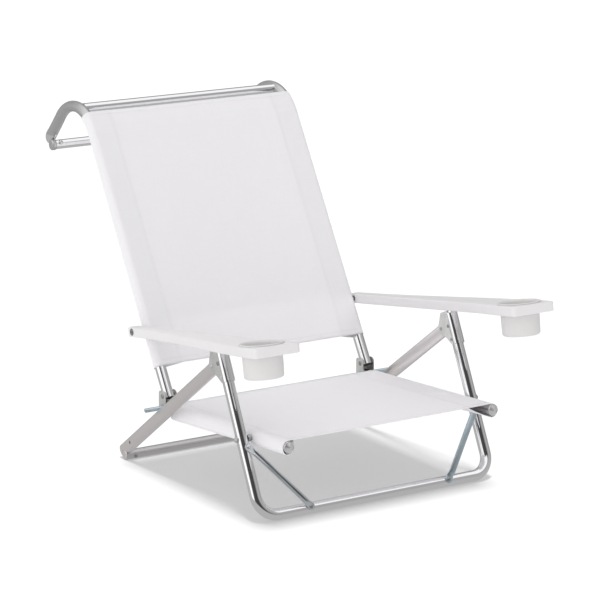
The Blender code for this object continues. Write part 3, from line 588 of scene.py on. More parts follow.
# ------------------------------------------------------------------ front leg frame
# right half as (x, distance up the legs): straight leg, bend, floor bar; then mirrored
half_path = [(-LEG_X, a) for a in spaced(LEG_TOP, LEG_BEND, 6)[:-1]]
half_path += [(-(LEG_X - LEG_BEND) - LEG_BEND * cos(t), LEG_BEND - LEG_BEND * sin(t))
              for t in quarter(22)]
half_path += [(-160, 0), (-60, 0)]
leg_path = half_path + [(-x, a) for x, a in reversed(half_path)]
make("front_legs_tube", round_tube([leg_plane(x, a) for x, a in leg_path], LEG_NORMAL),
     "polished", "legs", "front_leg_frame", angle=50)

# ------------------------------------------------------------------ gussets, their rivets
GUSSET_IN = TUBE_R + 0.45
GUSSET_OUT = GUSSET_IN + 1.7
GUSSET_DEPTH = 52           # how far the section's cheeks reach behind the leg's axis
# (distance up the leg, distance behind its axis), corner radius
GUSSET_OUTLINE = [
    ((299.5, -20), 0), ((299.5, 2.5), 5), ((321.0, 19.0), 11), ((333.5, 39.0), 9),
    ((350.0, 38.0), 8), ((377.0, 17.0), 3), ((376.5, -6.0), 2), ((370.4, -9.0), 0),
    ((370.4, -20), 0)]
# tag, place, radius, height, outer head's material, name of the piece it replaces
GUSSET_RIVETS = (
    ("low", leg_point(311.0), 4.4, 1.7, "bracket", "gusset_rivet_"),
    ("arm", ARM_PIVOT, 4.9, 1.9, "steel", "armrest_pin_"),
    ("rear", REAR_PIVOT, 4.7, 1.9, "bracket", "rear_leg_pin_"))


def gusset(sign):
    """U-shaped plate round the front of the leg, trimmed to its side outline."""
    def nose(radius, flat=2.5):
        corner = radius - flat
        return [(side * flat + corner * cos(t), -flat + corner * sin(t))
                for side, start in ((-1, pi), (1, 1.5 * pi))
                for t in spaced(start, start + pi / 2, 12)]

    section = [(-GUSSET_IN, GUSSET_DEPTH), (-GUSSET_OUT, GUSSET_DEPTH)] + nose(GUSSET_OUT)
    section += [(GUSSET_OUT, GUSSET_DEPTH), (GUSSET_IN, GUSSET_DEPTH)] + nose(GUSSET_IN)[::-1]
    x = sign * LEG_X
    channel = loft([[(x + dx, *leg_point(a, behind)) for dx, behind in section]
                    for a in (280.0, 380.0)])
    outline = rounded([leg_point(*point) for point, _ in GUSSET_OUTLINE],
                      [radius for _, radius in GUSSET_OUTLINE], 6)
    bm = boolean(channel, [prism(outline, x - 30, x + 30)], 'INTERSECT')
    # the nose round the leg is polished, the cheeks are plain
    for face in bm.faces:
        centre = face.calc_center_median()
        behind = centre.y * LEG_U[1] - (centre.z - FRONT_BAR_Z) * LEG_U[0]
        face.material_index = 1 if behind < 4.0 else 0
    return bm


def seat_pivot(sign, side):
    """Bolt head inboard of the seat tube, washer and nut outside the leg, spacer between."""
    facing = (sign, 0, 0)
    dome("seat_bolt_head_" + side, "steel", "legs",
         at(sign * (SEAT_X - TUBE_R - 4.2), SEAT_PIVOT), (-sign, 0, 0),
         radius=7.0, height=3.4, dimple=1.0, shank=66, replaces="seat_pivot_bolt_" + side)
    outside = LEG_X + TUBE_R
    washer = [(0, 0), (0, 6.4), (0.4, 6.8), (0.8, 6.8), (1.2, 6.4), (1.2, 0)]
    make("seat_washer_" + side,
         turned(washer, at(sign * (outside - 0.4), SEAT_PIVOT), facing, 36),
         "bracket", "legs")
    if side == "right":     # hexagonal nut
        profile = [(0, 0), (0, 5.4), (0.6, 5.9), (3.2, 5.9), (3.8, 5.3), (4.0, 3.6),
                   (5.0, 3.4), (5.5, 2.8), (5.5, 0)]
        nut = turned(profile, at(sign * (outside + 0.9), SEAT_PIVOT), facing, 6)
    else:                   # low round head
        profile = [(0, 0), (0, 5.6), (0.5, 5.8), (1.2, 5.2), (1.8, 3.6), (2.0, 0)]
        nut = turned(profile, at(sign * (outside + 0.7), SEAT_PIVOT), facing, 28)
    make("seat_nut_" + side, nut, "bracket", "legs", "seat_pivot_nut_" + side,
         bevel=0.5, segments=3, angle=30)
    spacer = [(0, 3.8), (0, 7.0), (0.6, 7.6), (8.0, 7.6), (8.6, 7.0), (8.6, 3.8)]
    make("seat_spacer_" + side,
         turned(spacer, at(sign * (SEAT_X + TUBE_R + 2.2), SEAT_PIVOT), facing, 32, closed=True),
         "steel", "legs", "seat_pivot_spacer_" + side)


for sign, side in SIDES:
    ob = make("gusset_" + side, gusset(sign), "bracket", "legs",
              "gusset_bracket_" + side, bevel=0.35, angle=40)
    ob.data.materials.append(MAT["polished"])
    for tag, place, radius, height, material, replaced in GUSSET_RIVETS:
        dome("rivet_%s_out_%s" % (tag, side), material, "legs",
             at(sign * (LEG_X + GUSSET_OUT + 0.1), place), (sign, 0, 0),
             radius, height, dimple=0.5, shank=14, replaces=replaced + side)
        dome("rivet_%s_in_%s" % (tag, side), "steel", "legs",
             at(sign * (LEG_X - GUSSET_OUT - 0.1), place), (-sign, 0, 0),
             radius * 0.9, height * 0.7, dimple=0.4, shank=14)
    seat_pivot(sign, side)

# ------------------------------------------------------------------ brace struts
STRUT_UP_X, STRUT_UP_Z = 300.0, 150.0
STRUT_LOW_X, STRUT_LOW_UP = 182.0, 2.0      # the lower end's distance up the leg plane
STRUT_OFF = TUBE_R + 1.3
STRUT_T = 1.1
TAB_REACH = 8.6
# one end's rounded tab opening into the channel: (distance, half width, channel depth)
STRUT_END = [(-TAB_REACH * cos(t), max(3.4, 9.0 * sin(t)), 0.0) for t in quarter(8)]
STRUT_END += [(5.0, 8.6, 0.0), (10.0, 7.6, 0.6), (15.0, 6.9, 2.6), (20.0, 6.6, 4.2)]


def strut_section(width, depth, flip):
    """U channel with rolled lips, flattening to a plain strip where the depth is 0.

    Points are (across, out from the leg plane); width is the half width.
    """
    open_ = min(1.0, depth / 4.2)           # 0 for a flat strip, 1 for the full channel
    top = STRUT_T + max(depth, 0.12) + 0.5 * open_
    lip = width - STRUT_T - 0.2 - (width - STRUT_T - 1.9) * open_
    wall = width - STRUT_T                  # inner face of the channel's side
    half = [
        (width - 1.2, 0.0), (width - 0.3, 0.3), (width, 1.2),
        (width, top - 1.3 * open_ - 0.1),
        (width - 0.5 * open_ - 0.05, top - 0.3 * open_ - 0.03),
        (width - 1.5 * open_ - 0.1, top), (lip + 0.3, top),
        (lip, top - 0.3 * open_ - 0.02), (lip + 0.2, top - 1.1 * open_ - 0.04),
        (wall - 0.9 * open_, top - 1.2 * open_ - 0.06),
        (wall - 0.1, top - 2.2 * open_ - 0.08),
        (wall - 0.15, STRUT_T + 0.3 * open_ + 0.01), (wall - 1.0, STRUT_T)]
    section = [(-a, b) for a, b in half] + half[::-1]
    if flip:
        section = [(a, 6.6 * open_ + STRUT_T * (1 - open_) - b) for a, b in section]
    return section


def brace(sign, side):
    upper = leg_plane(sign * STRUT_UP_X, (STRUT_UP_Z - FRONT_BAR_Z) / LEG_U[1])
    upper += LEG_NORMAL * STRUT_OFF
    lower = leg_plane(sign * STRUT_LOW_X, STRUT_LOW_UP) + LEG_NORMAL * STRUT_OFF
    axis = lower - upper
    length = axis.length
    axis.normalize()
    across = LEG_NORMAL.cross(axis).normalized()
    stations = STRUT_END + [(length * 0.5, 6.5, 4.4)]
    stations += [(length - t, width, depth) for t, width, depth in reversed(STRUT_END)]
    bm = loft([[upper + axis * t + across * a + LEG_NORMAL * (b - 1.0)
                for a, b in strut_section(width, depth, side == "left")]
               for t, width, depth in stations])
    make("brace_" + side, bm, "zinc" if side == "left" else "zinc_grey", "legs",
         "brace_strut_" + side, angle=40)
    for tag, point, material in (("upper", upper, "bright"), ("lower", lower, "steel")):
        dome("brace_rivet_%s_%s" % (tag, side), material, "legs",
             point + LEG_NORMAL * 0.2, LEG_NORMAL, radius=4.6, height=2.2, dimple=0.7, shank=12,
             replaces="strut_rivet_%s_%s" % (tag, side))


for sign, side in SIDES:
    brace(sign, side)


# ------------------------------------------------------------------ rear legs
def crowned(height, thickness):
    """Oval between an ellipse and a stadium."""
    def swell(value, size):
        return size / 2 * abs(value) ** 0.84 * (1 if value > 0 else -1)

    count = 44
    angles = [-pi / 2 + 2 * pi * i / count for i in range(count)]
    return [(swell(cos(a), height), swell(sin(a), thickness)) for a in angles]


for sign, side in SIDES:
    x = sign * LEG_X
    hole = rear_point(455.0, 1.0)
    bm = sweep([at(x, rear_point(a)) for a in spaced(-7.0, REAR_LEN, 8)], (sign, 0, 0),
               crowned(REAR_H, REAR_T), crowned(REAR_H - 2 * WALL, REAR_T - 2 * WALL))
    bm = boolean(bm, [cross_rod(x, REAR_BAR_AT, 20, BAR_R + 0.35, 48),
                      rod(at(x + sign * 2, hole), at(x + sign * 20, hole), 3.4, 24)])
    make("rear_leg_tube_" + side, bm, "leg_satin", "rear_legs",
         "rear_leg_" + side, angle=40)
make("rear_bar_tube", cross_bar(REAR_BAR_HALF, REAR_BAR_AT, 40), "satin", "rear_legs",
     "rear_floor_bar", angle=50)
REAR_SCREW_FACING = Vector((0, -0.94, -0.342))
REAR_PLUG = [(-9, 0), (-9, BAR_R - 2.2), (0.05, BAR_R - 2.0), (0.1, BAR_R - 0.1),
             (0.5, BAR_R - 0.3), (1.0, BAR_R - 1.4), (1.3, BAR_R - 4.0), (1.4, 0)]
for sign, side in SIDES:
    centre = at(sign * (LEG_X - 16.0), REAR_BAR_AT)
    dome("rear_screw_" + side, "steel", "rear_legs",
         centre + REAR_SCREW_FACING * (BAR_R + 0.1), REAR_SCREW_FACING,
         radius=4.6, height=2.0, dimple=0.8, shank=6, replaces="rear_bar_screw_" + side)
    make("rear_plug_" + side,
         turned(REAR_PLUG, at(sign * REAR_BAR_HALF, REAR_BAR_AT), (sign, 0, 0)),
         "leg_satin", "rear_legs", "rear_bar_plug_" + side, angle=60)

# ------------------------------------------------------------------ seat frame
SEAT_PLUG = [
    (10, 0), (10, TUBE_R - 2.2), (-0.1, TUBE_R - 2.0), (-0.2, TUBE_R - 0.1),
    (-0.7, TUBE_R + 0.1), (-1.5, TUBE_R - 0.3), (-1.9, TUBE_R - 1.1), (-1.8, TUBE_R - 1.9),
    (-1.1, TUBE_R - 2.5), (-5.2, 2.2), (-5.8, 1.0), (-6.0, 0)]
for sign, side in SIDES:
    x = sign * SEAT_X
    rail = [at(x, seat_point(y)) for y in spaced(SEAT_FRONT, SEAT_REAR, 8)]
    make("seat_tube_" + side, round_tube(rail, (1, 0, 0)), "polished", "seat",
         "seat_rail_" + side, angle=50)
    make("seat_plug_" + side,
         turned(SEAT_PLUG, at(x, seat_point(SEAT_FRONT)), at(0, SEAT_U), 72),
         "mirror", "seat", "seat_rail_plug_" + side)

ROD_HALF = 331.0
ROD_END = [(0, 0), (0.1, 3.6), (0.5, 4.4), (1.3, 4.95), (2.4, 5.0)]
rod_profile = ROD_END + [(2 * ROD_HALF - d, r) for d, r in reversed(ROD_END)]
make("cross_rod", turned(rod_profile, at(-ROD_HALF, ROD), (1, 0, 0), 32),
     "zinc", "seat", "seat_cross_rod", angle=40)

# hinge brackets: U plates seen from the side as (y, z)
HINGE_IN, HINGE_T = 14.2, 1.8
HINGE_OUT = HINGE_IN + HINGE_T
HINGE_OUTLINE = [(430.5, 136.5), (459.6, 136.5), (459.6, 186.0), (431.5, 187.5)]
HINGE_RADII = [7, 5, 7, 9]
HINGE_HOLLOW = [(420.0, 120.0), (457.7, 120.0), (457.7, 169.0), (470.0, 169.0),
                (470.0, 200.0), (420.0, 200.0)]
ROD_WASHER = [(0, 5.1), (0, 8.2), (0.4, 8.6), (0.9, 8.2), (0.9, 5.1)]
for sign, side in SIDES:
    x = sign * (SEAT_X + BACK_X) / 2
    plate = prism(rounded(HINGE_OUTLINE, HINGE_RADII, 6), x - HINGE_OUT, x + HINGE_OUT)
    bm = boolean(plate, [prism(HINGE_HOLLOW, x - HINGE_IN, x + HINGE_IN),
                         cross_rod(x, ROD, 30, 5.3, 24)])
    make("hinge_plate_" + side, bm, "bracket", "seat", "hinge_bracket_" + side,
         bevel=0.4, angle=40)
    for face, tag in ((1, "out"), (-1, "in")):
        facing = (sign * face, 0, 0)
        face_x = x + sign * face * (HINGE_OUT + 0.1)
        dome("hinge_rivet_%s_%s" % (tag, side), "steel", "seat", at(face_x, BACK_PIVOT), facing,
             radius=5.4, height=1.9, dimple=0.5, shank=15,
             replaces="hinge_pin_" + side if face == 1 else None)
        make("rod_washer_%s_%s" % (tag, side),
             turned(ROD_WASHER, at(face_x, ROD), facing, 32, closed=True), "zinc", "seat")

# ------------------------------------------------------------------ back frame
ARC_START, ARC_END = BACK_DEG + 90, HOOK_DEG + 90
arc_start = hook_point(ARC_START)
BACK_STRAIGHT = hypot(arc_start[0] - BACK_PIVOT[0], arc_start[1] - BACK_PIVOT[1])
arc_end = hook_point(ARC_END)
BACK_PATH = [back_point(a) for a in spaced(-BACK_STUB, BACK_STRAIGHT, 8)[:-1]]
BACK_PATH += [hook_point(deg) for deg in spaced(ARC_START, ARC_END, 40)]
BACK_PATH += [along(arc_end, HOOK_U, a) for a in spaced(0.0, HOOK_END, 18)[1:]]


def hook_tube(x):
    """Back rail; its free end is pressed wider in the hook's plane and rounded off."""
    bm = round_tube([at(x, point) for point in BACK_PATH], (1, 0, 0))
    for vert in bm.verts:
        dy, dz = vert.co.y - arc_end[0], vert.co.z - arc_end[1]
        length = dy * HOOK_U[0] + dz * HOOK_U[1]
        across = -dy * HOOK_U[1] + dz * HOOK_U[0]
        if length < 0 or abs(across) > 30:
            continue
        press = max(0.0, min(1.0, length / 72.0))
        press *= 0.55 + 0.45 * press
        across = across * (1 + 0.26 * press) + 4.2 * press
        # the end is cut to a curve that falls away towards the outer side
        cut = max(0.0, min(1.0, (length - 55.0) / 22.0))
        length += cut * (7.5 - 13.0 * max(0.0, (across + 6.0) / 27.0) ** 1.8)
        vert.co = at(x + (vert.co.x - x) * (1 - 0.20 * press),
                     along(arc_end, HOOK_U, length, across))
    return bm


BACK_PLUG = [(8, 0), (8, TUBE_R - 2.0), (0.0, TUBE_R - 2.0), (-0.1, TUBE_R - 0.2),
             (-0.7, TUBE_R - 0.4), (-1.3, TUBE_R - 1.4), (-1.6, 0)]
for sign, side in SIDES:
    x = sign * BACK_X
    bm = boolean(hook_tube(x), [cross_rod(x, LOWER_BAR, 20, BAR_R + 1.75, 72)])
    # satin above this height, polished below
    for face in bm.faces:
        face.material_index = 0 if face.calc_center_median().z > 690 else 1
    ob = make("back_tube_" + side, bm, "hook", "back", "back_rail_" + side,
              angle=50)
    ob.data.materials.append(MAT["polished"])
    make("back_plug_" + side, turned(BACK_PLUG, at(x, back_point(-BACK_STUB)), at(0, BACK_U)),
         "black", "back", "back_rail_plug_" + side)

for name, place, half in (("upper", hook_point(UPPER_BAR_DEG), BACK_X - 9.0),
                          ("lower", LOWER_BAR, LOWER_BAR_HALF)):
    make(name + "_bar_tube", cross_bar(half, place, 56), "polished", "back",
         "back_%s_crossbar" % name, angle=50)

# rolled collar round the lower bar's end, closed by a shallow cap
COLLAR = [
    (-9.0, BAR_R + 0.15), (-9.0, BAR_R + 1.1), (-8.4, BAR_R + 1.6), (-1.6, BAR_R + 1.6),
    (-0.4, BAR_R + 1.2), (0.5, BAR_R + 0.3), (1.1, BAR_R - 1.0), (1.3, BAR_R - 3.0),
    (1.1, 3.0), (1.0, 0), (0.2, 0), (0.2, BAR_R + 0.15)]
LOWER_SCREW_FACING = Vector((0, -0.85, 0.527)).normalized()
for sign, side in SIDES:
    centre = at(sign * (BACK_X - 9.0), LOWER_BAR)
    dome("lower_bar_screw_head_" + side, "bright", "back",
         centre + LOWER_SCREW_FACING * (BAR_R + 0.1), LOWER_SCREW_FACING,
         radius=5.6, height=2.6, dimple=1.2, shank=6, replaces="lower_crossbar_screw_" + side)
    make("lower_bar_collar_" + side,
         turned(COLLAR, at(sign * LOWER_BAR_HALF, LOWER_BAR), (sign, 0, 0), 56),
         "hook", "back", angle=40)

# ------------------------------------------------------------------ slings
HEM, CLOTH_T = 14.0, 0.9
SEAM_STITCHES, HEM_STITCH = (1.5, 6.0), 11.0        # distances in from seam and hem
STITCH_STEP, STITCH_LEN, STITCH_R = 4.6, 3.3, 0.34


def smooth(t):
    t = max(0.0, min(1.0, t))
    return t * t * (3 - 2 * t)


def raised(station, x, height):
    """Point over a station; heights are measured from the rails' axis plane."""
    (y, z), (up_y, up_z), _ = station
    return Vector((x, y + up_y * height, z + up_z * height))


def sling(name, stations, rail_x, body, replaces, sag, seams, droop, wrinkle):
    """Cloth pulled between two rails, each edge sewn into a sleeve round its rail.

    stations: ((y, z), (up y, up z), distance along in mm). seams: side sign to the seam's
    distance inside the rail. Returns the sewing lines as lists of (point, normal).
    """
    total = stations[-1][2]
    sleeve_r = TUBE_R + 0.55

    def sheet(x, dist):
        """Height of the sheet between the rails."""
        across = (rail_x - x) / (2 * rail_x)
        edge = min(dist, total - dist)
        belly = sag * (1 - (2 * across - 1) ** 2) * (0.35 + 0.65 * sin(pi * dist / total))
        hem = 0.6 * (1 - smooth((edge - HEM) / 1.5)) * smooth((rail_x - abs(x)) / 8.0)
        return sleeve_r - belly + wrinkle(x, dist, total) + hem

    def sleeve(sign, dist):
        """(x, height) from the seam under the sheet, round the rail's outside, to its top."""
        low = radians(-112 if seams[sign] > 30 else -165)
        loose = droop(dist / total)

        def wrap(angle):
            radius = sleeve_r + max(0.0, -sin(angle)) ** 1.5 * loose
            return (rail_x + radius * cos(angle), radius * sin(angle))

        touch_x, touch_h = wrap(low)
        seam_x = rail_x - seams[sign]
        seam_h = sheet(seam_x * sign, dist) - 1.1
        points = [(seam_x + (touch_x - seam_x) * t,
                   seam_h + (touch_h - seam_h) * t - 1.6 * sin(pi * t))
                  for t in spaced(0.0, 1.0, 16)[:-1]]
        points += [wrap(angle) for angle in spaced(low, pi / 2, 44)]
        return [(sign * x, height) for x, height in points]

    bm = bmesh.new()
    uv_layer = bm.loops.layers.uv.new("UVMap")
    rows = []       # per station: (vertex, (distance across, distance along))
    for station in stations:
        dist = station[2]
        profile = sleeve(1, dist)
        profile += [(x, sheet(x, dist)) for x in spaced(rail_x, -rail_x, 90)[1:-1]]
        profile += sleeve(-1, dist)[::-1]
        row = []
        across = 0.0
        before = profile[0]
        for x, height in profile:
            across += hypot(x - before[0], height - before[1])
            before = (x, height)
            row.append((bm.verts.new(raised(station, x, height)), (across, dist)))
        rows.append(row)
    for a, b in zip(rows, rows[1:]):
        for i in range(len(a) - 1):
            corners = (a[i], a[i + 1], b[i + 1], b[i])
            face = bm.faces.new([vert for vert, _ in corners])
            for loop, (_, uv) in zip(face.loops, corners):
                loop[uv_layer].uv = uv
    bmesh.ops.recalc_face_normals(bm, faces=bm.faces)
    middle = min(bm.faces, key=lambda face: abs(face.calc_center_median().x))
    if middle.normal.dot(at(0, stations[0][1])) < 0:
        bmesh.ops.reverse_faces(bm, faces=bm.faces)
    ob = make(name, bm, "cloth", body, replaces, angle=180, recalc=False)
    solid = ob.modifiers.new("thickness", 'SOLIDIFY')
    solid.thickness = CLOTH_T * MM
    solid.offset = 1.0
    solid.use_rim = True

    def on_top(station, x):
        height = sheet(x, station[2]) + CLOTH_T
        return raised(station, x, height), at(0, station[1])

    # two sewing lines beside each seam, one along each hem
    lines = [[on_top(station, sign * (rail_x - seams[sign] + inset)) for station in stations]
             for sign in (-1, 1) for inset in SEAM_STITCHES]
    for edge in (HEM_STITCH, total - HEM_STITCH):
        station = min(stations, key=lambda item: abs(item[2] - edge))
        lines.append([on_top(station, x) for x in spaced(rail_x - 4, -(rail_x - 4), 80)])
    return lines


def seat_stations():
    front, rear = SEAT_CLOTH
    return [(seat_point(y), (-SEAT_U[1], SEAT_U[0]), (y - front) / SEAT_U[0])
            for y in spaced(front, rear, 70)]


def back_stations():
    """Up the straight of the back, then round part of the hook."""
    straight = [(back_point(a), (-BACK_U[1], BACK_U[0]), a - CLOTH_LOW)
                for a in spaced(CLOTH_LOW, BACK_STRAIGHT, 90)]
    arc = [(hook_point(deg), direction(deg),
            BACK_STRAIGHT - CLOTH_LOW + HOOK_R * radians(ARC_START - deg))
           for deg in spaced(ARC_START, CLOTH_TOP_DEG, 14)[1:]]
    return straight + arc


def seat_wrinkle(x, dist, total):
    """Creases that run in from near the seat pivots, and a soft pull to the rear corners."""
    height = 0.0
    for sign in (-1, 1):
        dx, dd = x - sign * (SEAT_X - 6), dist - 128.0
        reach = hypot(dx, dd)
        fan = sin(6.0 * atan2(dd, -sign * dx) + 0.8)
        height += 1.3 * exp(-(reach / 55.0) ** 2) * fan * smooth(reach / 14.0)
        dx, dd = x - sign * (SEAT_X - 4), dist - (total - 6)
        reach = hypot(dx, dd)
        fan = sin(atan2(-dd, -sign * dx) * 7.0)
        height += 0.9 * exp(-(reach / 90.0) ** 2) * fan * smooth(reach / 20.0)
    inside = smooth((SEAT_X - abs(x)) / 60.0)
    return height + 0.35 * sin(x / 41.0 + 0.6) * sin(dist / 63.0) * inside


def back_wrinkle(x, dist, total):
    """Broad waves, and short ones along the lower hem."""
    inside = BACK_X - abs(x)
    waves = 0.4 * sin(x / 57.0 + 0.4) * sin(dist / 85.0 + 0.8) * smooth(inside / 60.0)
    return waves + 0.5 * exp(-(dist / 35.0) ** 2) * sin(x / 23.0) * smooth(inside / 40.0)


def stitching(name, lines, body):
    """Separate thread stitches lying on the cloth along each line of (point, normal)."""
    bm = bmesh.new()
    for line in lines:
        position = 1.0
        run = 0.0
        for (start, normal), (end, _) in zip(line, line[1:]):
            length = (end - start).length
            tangent = (end - start) / length
            side = tangent.cross(normal).normalized()
            while position < run + length:
                first = start + tangent * (position - run)
                rings = []
                for t in spaced(0.0, 1.0, 4):
                    bulge = sin(pi * t)
                    centre = first + tangent * (STITCH_LEN * t) + normal * (0.28 * bulge - 0.08)
                    rings.append([centre + side * a + normal * b
                                  for a, b in circle(STITCH_R * (0.5 + 0.5 * bulge), 6)])
                add_loft(bm, rings)
                position += STITCH_STEP
            run += length
    make(name, bm, "thread", body, angle=180)


seat_lines = sling("seat_cloth", seat_stations(), SEAT_X, "seat", "seat_sling", sag=3.0,
                   seams={-1: 16.0, 1: 62.0}, droop=lambda t: 3.0 + 8.0 * t,
                   wrinkle=seat_wrinkle)
back_lines = sling("back_cloth", back_stations(), BACK_X, "back", "back_sling", sag=4.0,
                   seams={-1: 52.0, 1: 52.0}, droop=lambda t: 1.2 + 1.0 * (1 - t),
                   wrinkle=back_wrinkle)
stitching("seat_stitching", seat_lines, "seat")
stitching("back_stitching", back_lines, "back")

# ------------------------------------------------------------------ armrests
# plan outline as (y, distance out from the chair's middle), and its corner radii
ARM_OUTLINE = [
    (541.0, 285.5), (541.0, 315.5), (430.0, 320.0), (330.0, 330.5), (220.0, 347.5),
    (80.0, 369.0), (-30.0, 383.5), (-80.0, 388.0), (-116.5, 388.0), (-116.5, 274.0),
    (-75.0, 275.5), (30.0, 285.5)]
ARM_RADII = [8, 8, 60, 80, 90, 90, 60, 20, 8, 11, 40, 90]
ARM_EDGE_R = 3.6
ARM_CEILING = ARM_T - 3.6       # height of the hollow's roof
ARM_WALL = 2.8


def offset_outline(points, inset):
    area = sum(a[0] * b[1] - b[0] * a[1] for a, b in zip(points, points[1:] + points[:1]))
    turn = 1 if area > 0 else -1
    out = []
    for i, point in enumerate(points):
        corner = Vector(point)
        a = (corner - Vector(points[i - 1])).normalized()
        b = (Vector(points[(i + 1) % len(points)]) - corner).normalized()
        normal_a, normal_b = Vector((-a.y, a.x)) * turn, Vector((-b.y, b.x)) * turn
        normal = (normal_a + normal_b).normalized()
        out.append(tuple(corner + normal * inset / max(0.5, normal.dot(normal_b))))
    return out


def clip(points, limit, sign):
    """Keep the part of an outline beyond a limit in its first coordinate."""
    out = []
    for a, b in zip(points, points[1:] + points[:1]):
        a_in, b_in = (a[0] - limit) * sign >= 0, (b[0] - limit) * sign >= 0
        if a_in:
            out.append(a)
        if a_in != b_in:
            t = (limit - a[0]) / (b[0] - a[0])
            out.append((limit, a[1] + (b[1] - a[1]) * t))
    return out


def arm_body(sign, cup_centre):
    """Armrest with rounded edges, hollow below, holed for the cup and the rear bolt."""
    outline = rounded(ARM_OUTLINE, ARM_RADII, 8)
    # (height, inset) up the side
    levels = [(0.0, 2.6), (0.2, 1.7), (0.8, 0.8), (1.7, 0.2), (2.8, 0.0)]
    levels += [(ARM_T - ARM_EDGE_R + ARM_EDGE_R * sin(t), ARM_EDGE_R * (1 - cos(t)))
               for t in quarter(8)]
    bm = loft([[(sign * x, *arm_under(y, height)) for y, x in offset_outline(outline, inset)]
               for height, inset in levels])
    inner = clip(clip(offset_outline(outline, ARM_WALL), -8.0, 1), 486.0, -1)
    hollow = loft([[(sign * x, *arm_under(y, height)) for y, x in inner]
                   for height in (-3.0, ARM_CEILING)])
    hole = turned([(-10, 0), (-10, CUP_R + 0.15), (ARM_T - 1.6, CUP_R + 0.15),
                   (ARM_T - 0.5, CUP_R + 0.5), (ARM_T + 0.3, CUP_R + 1.6),
                   (ARM_T + 8, CUP_R + 1.6), (ARM_T + 8, 0)], cup_centre, ARM_NORMAL, 96)
    bore = rod(at(sign * 278, ARM_REAR), at(sign * 330, ARM_REAR), 6.4)
    return boolean(bm, [hollow, hole, bore])


def cup_profile():
    """Up the outside from the base, over the rolled rim, down the inside."""
    top = ARM_T + 0.3
    bore = CUP_R - CUP_WALL
    profile = [(-CUP_DEEP, 0), (-CUP_DEEP, CUP_R - 7.5)]
    profile += [(-CUP_DEEP + 6.5 - 6.5 * cos(t), CUP_R - 7.5 + 6.7 * sin(t))
                for t in quarter(7)[1:]]
    profile += [(-20.0, CUP_R - 0.4), (-1.0, CUP_R - 0.1), (top - 0.4, CUP_R),
                (top, CUP_R + 0.4), (top, CUP_RIM - 0.6), (top + 0.3, CUP_RIM)]
    profile += [(top + 0.3 + 2.5 * sin(t), CUP_RIM - 2.6 * (1 - cos(t)))
                for t in quarter(5)[1:]]
    profile += [(top + 2.8 - 7.8 * (1 - cos(t)), CUP_RIM - 2.6 - 5.6 * sin(t))
                for t in quarter(8)[1:]]
    profile += [(top - 9.0, bore - 0.3), (-CUP_DEEP + 12.0, bore - 0.6)]
    profile += [(-CUP_DEEP + CUP_WALL + 7.0 - 7.0 * sin(t), bore - 8.0 + 7.0 * cos(t))
                for t in quarter(6)]
    return profile + [(-CUP_DEEP + CUP_WALL, 0)]


def arm_bracket(sign):
    """Two tabs round the arm pivot, joined by a web under the hollow's roof."""
    tab = direction(76.3)
    top = ARM_CEILING - 0.3

    def tab_point(distance, across):
        return along(ARM_PIVOT, tab, distance, across)

    outline = [tab_point(22.0, -2.4)]
    outline += [tab_point(6.6 * cos(radians(deg)), 6.6 * sin(radians(deg)))
                for deg in range(-65, -296, -11)]
    outline += [tab_point(20.0, 0.5), tab_point(34.0, 0.5), arm_under(142.0, top - 1.5),
                arm_under(142.0, top), arm_under(168.0, top), arm_under(168.0, top - 1.5),
                tab_point(36.0, -2.4)]
    gap = [arm_under(190.0, top - 1.7), arm_under(110.0, top - 1.7), (110.0, 300.0),
           (190.0, 300.0)]
    x = sign * LEG_X
    return boolean(prism(outline, x - 10.6, x + 10.6),
                   [prism(gap, x - 8.5, x + 8.5), cross_rod(x, ARM_PIVOT, 20, 4.3, 24)])


ARM_BOLT_X = 316.0
ARM_BOLT_HEAD = [(-0.3, 0), (-0.3, 8.0), (0.2, 8.4), (0.9, 8.2), (1.1, 6.2), (1.1, 5.2),
                 (2.4, 4.4), (2.4, 2.6), (1.2, 2.3), (1.2, 0)]
ARM_BOLT_SHANK = [(0, 0), (0, 3.0), (38.0, 3.0), (38.0, 0)]
for sign, side in SIDES:
    body = "armrest_" + side
    facing = (sign, 0, 0)
    cup_centre = at(sign * CUP_AT[0], arm_under(CUP_AT[1]))
    make("arm_" + side, arm_body(sign, cup_centre), "arm", body, body, angle=32)
    make("cup_" + side, turned(cup_profile(), cup_centre, ARM_NORMAL, 96), "cup", body,
         "cup_holder_" + side, angle=40)
    make("arm_bracket_" + side, arm_bracket(sign), "bracket", body,
         "armrest_bracket_" + side, bevel=0.25)
    # bolt through the arm's rear end: recessed head outside, shank, nut inside the back tube
    make("arm_bolt_head_" + side,
         turned(ARM_BOLT_HEAD, at(sign * ARM_BOLT_X, ARM_REAR), facing, 36),
         "steel", "back", "armrest_bolt_" + side, angle=40)
    make("arm_bolt_shank_" + side,
         turned(ARM_BOLT_SHANK, at(sign * (ARM_BOLT_X - 38.5), ARM_REAR), facing, 24),
         "bright", "back")
    dome("arm_bolt_nut_" + side, "bright", "back",
         at(sign * (BACK_X - TUBE_R - 1.2), ARM_REAR), (-sign, 0, 0),
         radius=5.2, height=2.4, dimple=0.5, shank=8)

# ------------------------------------------------------------------ floor
scene = bpy.context.scene


def flat_sheet(name, corners, material):
    bm = bmesh.new()
    bm.faces.new([bm.verts.new(corner) for corner in corners])
    mesh = bpy.data.meshes.new(name)
    bm.to_mesh(mesh)
    bm.free()
    ob = bpy.data.objects.new(name, mesh)
    scene.collection.objects.link(ob)
    mesh.materials.append(material)
    return ob


